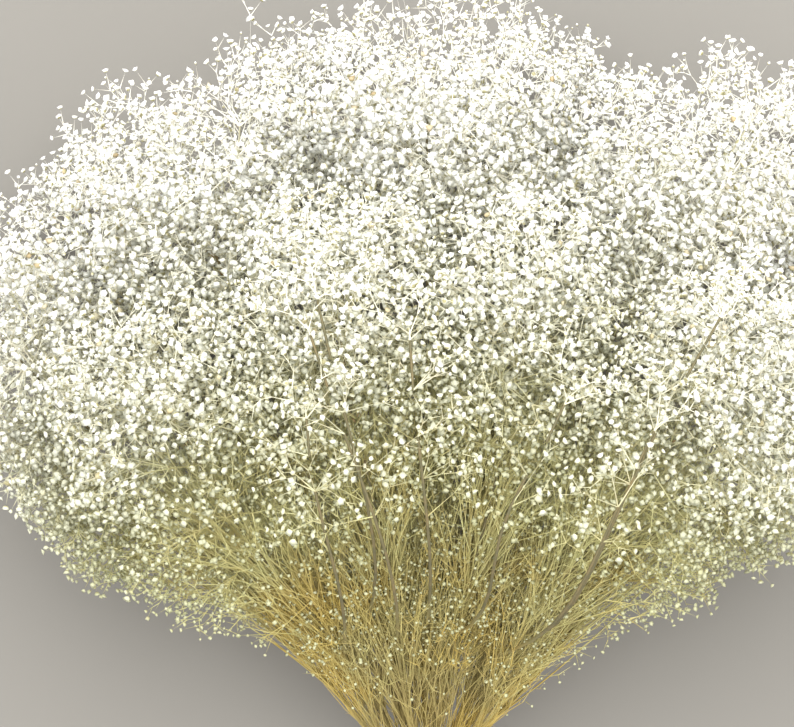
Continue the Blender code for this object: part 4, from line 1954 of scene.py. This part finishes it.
def twine_material():
    """Brown jute, mottled, with a fine fuzz."""
    made, tree, shader = new_material("jute_twine", roughness=0.9, specular=0.2)
    shader.inputs["Sheen Weight"].default_value = 0.3
    aged = aged_node(tree, TWINE_OLD, age=0.7, blotch_scale=300, fleck_scale=1800)
    aged.inputs["Colour"].default_value = TWINE_COLOUR
    place = object_place(tree)
    small_bumps(tree, shader, place, scale=3500.0, strength=0.8, distance=0.0002, detail=3.0)
    tree.links.new(aged.outputs["Colour"], shader.inputs["Base Color"])
    return made


TWINE_FINISH = twine_material()
print("finish:", TWINE_FINISH.name)

# %% Twine path
TWINE_RADIUS = 0.0011
TWINE_TURNS = 3
TWINE_GAP = 0.0002
POINTS_PER_TURN = 42


def belt_point(angle, along):
    """The twine's centreline at this angle round the bundle, bearing on the stem that stands out most."""
    across, up = math.cos(angle), math.sin(angle)
    outer = max(STEMS, key=lambda stem: stem["side"] * across + stem["up"] * up)
    around = STEM_RADIUS + STEM_GAP + TWINE_RADIUS
    return bundle_point(along, outer["side"] + around * across, outer["up"] + around * up)


def winding():
    """The three turns round the bundle."""
    step = 2 * TWINE_RADIUS + TWINE_GAP
    points = []
    for i in range(TWINE_TURNS * POINTS_PER_TURN + 1):
        turn = i / POINTS_PER_TURN
        angle = math.pi / 2 + math.tau * turn
        points.append(belt_point(angle, step * (turn - TWINE_TURNS / 2) - TIE_BELOW_WAIST))
    return points


print("turns of twine:", TWINE_TURNS)

# %% Knot and free ends
TWINE_END = ((0.0, 0.0, 0.0), (0.007, 0.002, 0.004), (0.014, 0.001, 0.006), (0.021, -0.003, 0.005))
CORNER = 0.25
SMOOTHINGS = 3
KNOT_SIZE = (0.0022, 0.0028, 0.0014)
KNOT_STEPS = 60
KNOT_PLACE = belt_point(math.pi / 2, -TIE_BELOW_WAIST) + (TWINE_RADIUS - STEM_GAP) * BUNDLE_UP
BUNDLE_TURN = Matrix((BUNDLE_SIDE, BUNDLE_AXIS, BUNDLE_UP)).transposed()


def knot_loops():
    """A tight overhand knot: a curve that winds three times round while it goes twice about its middle."""
    points = []
    for i in range(KNOT_STEPS + 1):
        t = math.tau * i / KNOT_STEPS
        x = (2 + math.cos(3 * t)) * math.cos(2 * t) / 2
        y = (2 + math.cos(3 * t)) * math.sin(2 * t) / 2
        z = math.sin(3 * t)
        shape = Vector((x * KNOT_SIZE[0], y * KNOT_SIZE[1], z * KNOT_SIZE[2]))
        points.append(KNOT_PLACE + BUNDLE_TURN @ shape)
    return points


def smoothed(points):
    """The line with its corners rounded by cutting them again and again."""
    for _ in range(SMOOTHINGS):
        cut = [points[0]]
        for a, b in zip(points, points[1:]):
            cut.extend((a.lerp(b, CORNER), a.lerp(b, 1 - CORNER)))
        cut.append(points[-1])
        points = cut
    return points


def twine_end(way):
    """One free end of the twine, from the knot outwards."""
    route = [KNOT_PLACE + BUNDLE_TURN @ Vector((way * x, way * y, z)) for x, y, z in TWINE_END]
    return smoothed(route)


TWINE_LINES = [winding(), knot_loops(), twine_end(-1), twine_end(1)]
TWINE_LENGTHS = [along_line(line)[1] for line in TWINE_LINES]
print("twine runs, in mm:", [round(1000 * length, 1) for length in TWINE_LENGTHS])

# %% Twisted twine tree
PLIES = 3
PLY_SIDES = 7
PLY_RADIUS = 0.0006
PLY_OFFSET = 0.0005
TWIST_PER_METRE = 900.0
TWINE_STEP = 0.0007


def twine_tree():
    """Sweeps twisted plies along each line."""
    inputs = (
        ("Ply Radius", "NodeSocketFloat", PLY_RADIUS),
        ("Ply Offset", "NodeSocketFloat", PLY_OFFSET),
        ("Twist Per Metre", "NodeSocketFloat", TWIST_PER_METRE),
        ("Step", "NodeSocketFloat", TWINE_STEP),
    )
    tree, given, result = piece_tree("twisted_twine", inputs)
    curve = node(tree, "GeometryNodeMeshToCurve")
    even = node(tree, "GeometryNodeResampleCurve", mode="LENGTH")
    along = node(tree, "GeometryNodeSplineParameter")
    twist = node(tree, "ShaderNodeMath", operation="MULTIPLY")
    tilt = node(tree, "GeometryNodeSetCurveTilt")
    profile = node(tree, "GeometryNodeJoinGeometry")
    skin = node(tree, "GeometryNodeCurveToMesh", inputs={"Fill Caps": True})
    smooth = node(tree, "GeometryNodeSetShadeSmooth")
    for i in range(PLIES):
        angle = math.tau * i / PLIES
        ply = node(tree, "GeometryNodeCurvePrimitiveCircle", inputs={"Resolution": PLY_SIDES})
        offset = node(tree, "ShaderNodeVectorMath", operation="SCALE")
        offset.inputs[0].default_value = (math.cos(angle), math.sin(angle), 0)
        moved = node(tree, "GeometryNodeTransform")
        link_all(
            tree,
            (given.outputs["Ply Radius"], ply.inputs["Radius"]),
            (given.outputs["Ply Offset"], offset.inputs["Scale"]),
            (ply.outputs["Curve"], moved.inputs["Geometry"]),
            (offset.outputs["Vector"], moved.inputs["Translation"]),
            (moved.outputs["Geometry"], profile.inputs["Geometry"]),
        )
    link_all(
        tree,
        (given.outputs["Geometry"], curve.inputs["Mesh"]),
        (curve.outputs["Curve"], even.inputs["Curve"]),
        (given.outputs["Step"], even.inputs["Length"]),
        (along.outputs["Length"], twist.inputs[0]),
        (given.outputs["Twist Per Metre"], twist.inputs[1]),
        (even.outputs["Curve"], tilt.inputs["Curve"]),
        (twist.outputs["Value"], tilt.inputs["Tilt"]),
        (tilt.outputs["Curve"], skin.inputs["Curve"]),
        (profile.outputs["Geometry"], skin.inputs["Profile Curve"]),
        (skin.outputs["Mesh"], smooth.inputs["Geometry"]),
    )
    real_and_finished(tree, given, smooth.outputs["Geometry"], result)
    return tree


TWINE_TREE = twine_tree()
twine = made_piece(
    "wound_twine",
    line_object("twine_lines", [(points, [1] * len(points), 0) for points in TWINE_LINES]),
    TWINE_TREE,
    {"Finish": TWINE_FINISH},
)
print("plies:", PLIES, "sides of each:", PLY_SIDES)

# %% [markdown]
# ## Loose fibres
#
# Jute is hairy. Single fibres stand off the twine all along it, and the two cut ends fray into small
# brushes. Each fibre is a spike from the stalk kit, set on the twine's path by the tree that also sets
# the florets.

# %% Loose fibres
FIBRE_RADIUS = 0.00005
FIBRE_LENGTHS = (0.0010, 0.0032)
FIBRE_STEP = 2
FIBRES_AT_STEP = 2
FRAY_FIBRES = 26
FRAY_LENGTHS = (0.0025, 0.0050)
FRAY_SPREAD = 0.45
FIBRE_LEAN = 0.6
FIBRE_SUNK = 0.6
FRAY_SUNK = 0.5


def fibre(place, way, length, rng):
    """One fibre as a point for the spike tree."""
    return place, way, (FIBRE_RADIUS, FIBRE_RADIUS, length), SPIKE_KIND, rng.uniform(0, math.tau), 0.0


def loose_fibres():
    """Fibres along every run of twine, and brushes at the free ends."""
    rng = random.Random(f"{SEED}-fibres")
    found = []
    for line in TWINE_LINES:
        for a, b in list(zip(line, line[1:]))[::FIBRE_STEP]:
            for _ in range(FIBRES_AT_STEP):
                way = (b - a).normalized()
                out = (any_hinge(way, rng) + FIBRE_LEAN * way * rng.choice((-1, 1))).normalized()
                foot = a + out * TWINE_RADIUS * FIBRE_SUNK
                found.append(fibre(foot, out, rng.uniform(*FIBRE_LENGTHS), rng))
    for line in TWINE_LINES[2:]:
        end, way = line[-1], (line[-1] - line[-2]).normalized()
        for _ in range(FRAY_FIBRES):
            aside = any_hinge(way, rng)
            out = (way + FRAY_SPREAD * rng.random() * aside).normalized()
            foot = end + aside * TWINE_RADIUS * FRAY_SUNK
            found.append(fibre(foot, out, rng.uniform(*FRAY_LENGTHS), rng))
    return found


fibres = made_piece(
    "twine_fibres",
    point_object("fibre_points", loose_fibres()),
    FLORETS_TREE,
    {"Kit": STALK_KIT, "Finish": TWINE_FINISH},
)
for piece in (twine, fibres):
    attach(piece, "root")
    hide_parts("twine_tie")
    print(piece.name, "triangles:", triangle_count(piece))

# %% [markdown]
# ## Table, light and camera
#
# The bunch lies on a plain pale surface under soft light. The key light hangs high over the outer half of
# the head, so the crown is bright and the neck falls off into warmer tones. The surface gets paler
# further away, where the lights no longer reach, so it looks the same from every side. The camera looks
# straight down, and is placed so that the waist and the tips fall where the photograph has them.

# %% Table
FLOOR_COLOUR = (0.20, 0.189, 0.169, 1)
FLOOR_FAR = (0.40, 0.39, 0.375, 1)
FLOOR_MOTTLE = 0.93
FLOOR_PALER = (0.6, 3.0)
FLOOR_HALF = 12.0


def table_material():
    """A pale, faintly mottled surface that gets paler further away."""
    made, tree, shader = new_material("pale_table", roughness=0.85)
    place = object_place(tree)
    grain = node(tree, "ShaderNodeTexNoise", inputs={"Scale": 5.0, "Detail": 4.0})
    tone = blend(tree, tuple(FLOOR_MOTTLE * part for part in FLOOR_COLOUR[:3]) + (1,))
    tone.inputs["A"].default_value = FLOOR_COLOUR
    away = node(tree, "ShaderNodeVectorMath", operation="LENGTH")
    paler = from_to(tree, FLOOR_PALER, interpolation_type="SMOOTHSTEP")
    floor = blend(tree, FLOOR_FAR)
    link_all(
        tree,
        (place, grain.inputs["Vector"]),
        (grain.outputs["Fac"], tone.inputs["Factor"]),
        (place, away.inputs[0]),
        (away.outputs["Value"], paler.inputs["Value"]),
        (paler.outputs["Result"], floor.inputs["Factor"]),
        (tone.outputs["Result"], floor.inputs["A"]),
        (floor.outputs["Result"], shader.inputs["Base Color"]),
    )
    return made


def table_surface():
    """One large square, with the bunch at its middle."""
    mesh = bpy.data.meshes.new("table_surface")
    ways = ((-1, -1), (1, -1), (1, 1), (-1, 1))
    mesh.from_pydata([(FLOOR_HALF * x, FLOOR_HALF * y, 0) for x, y in ways], [], [(0, 1, 2, 3)])
    mesh.materials.append(table_material())
    return in_scene(bpy.data.objects.new("table_surface", mesh))


table_surface()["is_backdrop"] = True
print("table:", 2 * FLOOR_HALF, "m wide")

# %% Lights
HEAD_CENTRE = Vector((0, 0.12, 0.12))
# Each light has its name, place, size, power and colour.
LIGHTS = (
    ("key_light", Vector((-0.05, 0.62, 1.45)), 1.3, 36, (1.0, 1.0, 1.0)),
    ("fill_light", Vector((0.9, -1.1, 1.5)), 1.6, 12, (1.0, 0.99, 0.97)),
)
ROOM_COLOUR = (0.85, 0.85, 0.85, 1)
ROOM_STRENGTH = 1.65


def soft_light(name, place, size, power, colour):
    """A square area light that looks at the middle of the head."""
    light = bpy.data.lights.new(name, "AREA")
    light.shape = "SQUARE"
    light.size = size
    light.energy = power
    light.color = colour
    made = in_scene(bpy.data.objects.new(name, light))
    made.location = place
    made.rotation_euler = (HEAD_CENTRE - place).to_track_quat("-Z", "Y").to_euler()


for values in LIGHTS:
    soft_light(*values)
room = bpy.data.worlds.new("soft_room")
room.use_nodes = True
background = room.node_tree.nodes["Background"]
background.inputs["Color"].default_value = ROOM_COLOUR
background.inputs["Strength"].default_value = ROOM_STRENGTH
bpy.context.scene.world = room
bpy.context.scene.view_settings.view_transform = "Standard"
print("lights:", [values[0] for values in LIGHTS], "room strength:", ROOM_STRENGTH)

# %% Camera
IMAGE_WIDTH, IMAGE_HEIGHT = 794, 727
PIXEL = 0.00055
MIDDLE_HEIGHT = 0.12
CAMERA_DISTANCE = 1.25
WAIST_PIXEL = (425, 787)
SENSOR_WIDTH = 36.0
CLIP_FROM, CLIP_TO = 0.01, 60

waist_scale = CAMERA_DISTANCE / (CAMERA_DISTANCE + MIDDLE_HEIGHT - WAIST.z)
centre_x = WAIST.x - (WAIST_PIXEL[0] - IMAGE_WIDTH / 2) * PIXEL / waist_scale
centre_y = WAIST.y + (WAIST_PIXEL[1] - IMAGE_HEIGHT / 2) * PIXEL / waist_scale
camera = bpy.data.cameras.new("view_from_above")
camera.sensor_width = SENSOR_WIDTH
camera.lens = SENSOR_WIDTH * CAMERA_DISTANCE / (IMAGE_WIDTH * PIXEL)
camera.clip_start = CLIP_FROM
camera.clip_end = CLIP_TO
# A camera that isn't turned looks straight down.
viewer = in_scene(bpy.data.objects.new("view_from_above", camera))
viewer.location = (centre_x, centre_y, MIDDLE_HEIGHT + CAMERA_DISTANCE)
bpy.context.scene.camera = viewer
print("camera above", round(centre_x, 4), round(centre_y, 4), "lens", round(camera.lens, 1))

# %% [markdown]
# ## Sizes, and the end of the script
#
# The box round everything visible is printed beside the solid model's box, so the two can be compared.

# %% Sizes, and the end of the script
bpy.context.view_layer.update()
boxes = {"cad": CAD_BOX, "visual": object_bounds()}
{name: [list(corner) for corner in box] for name, box in boxes.items()}
print("boxes:", {name: [[round(v, 4) for v in corner] for corner in box] for name, box in boxes.items()})
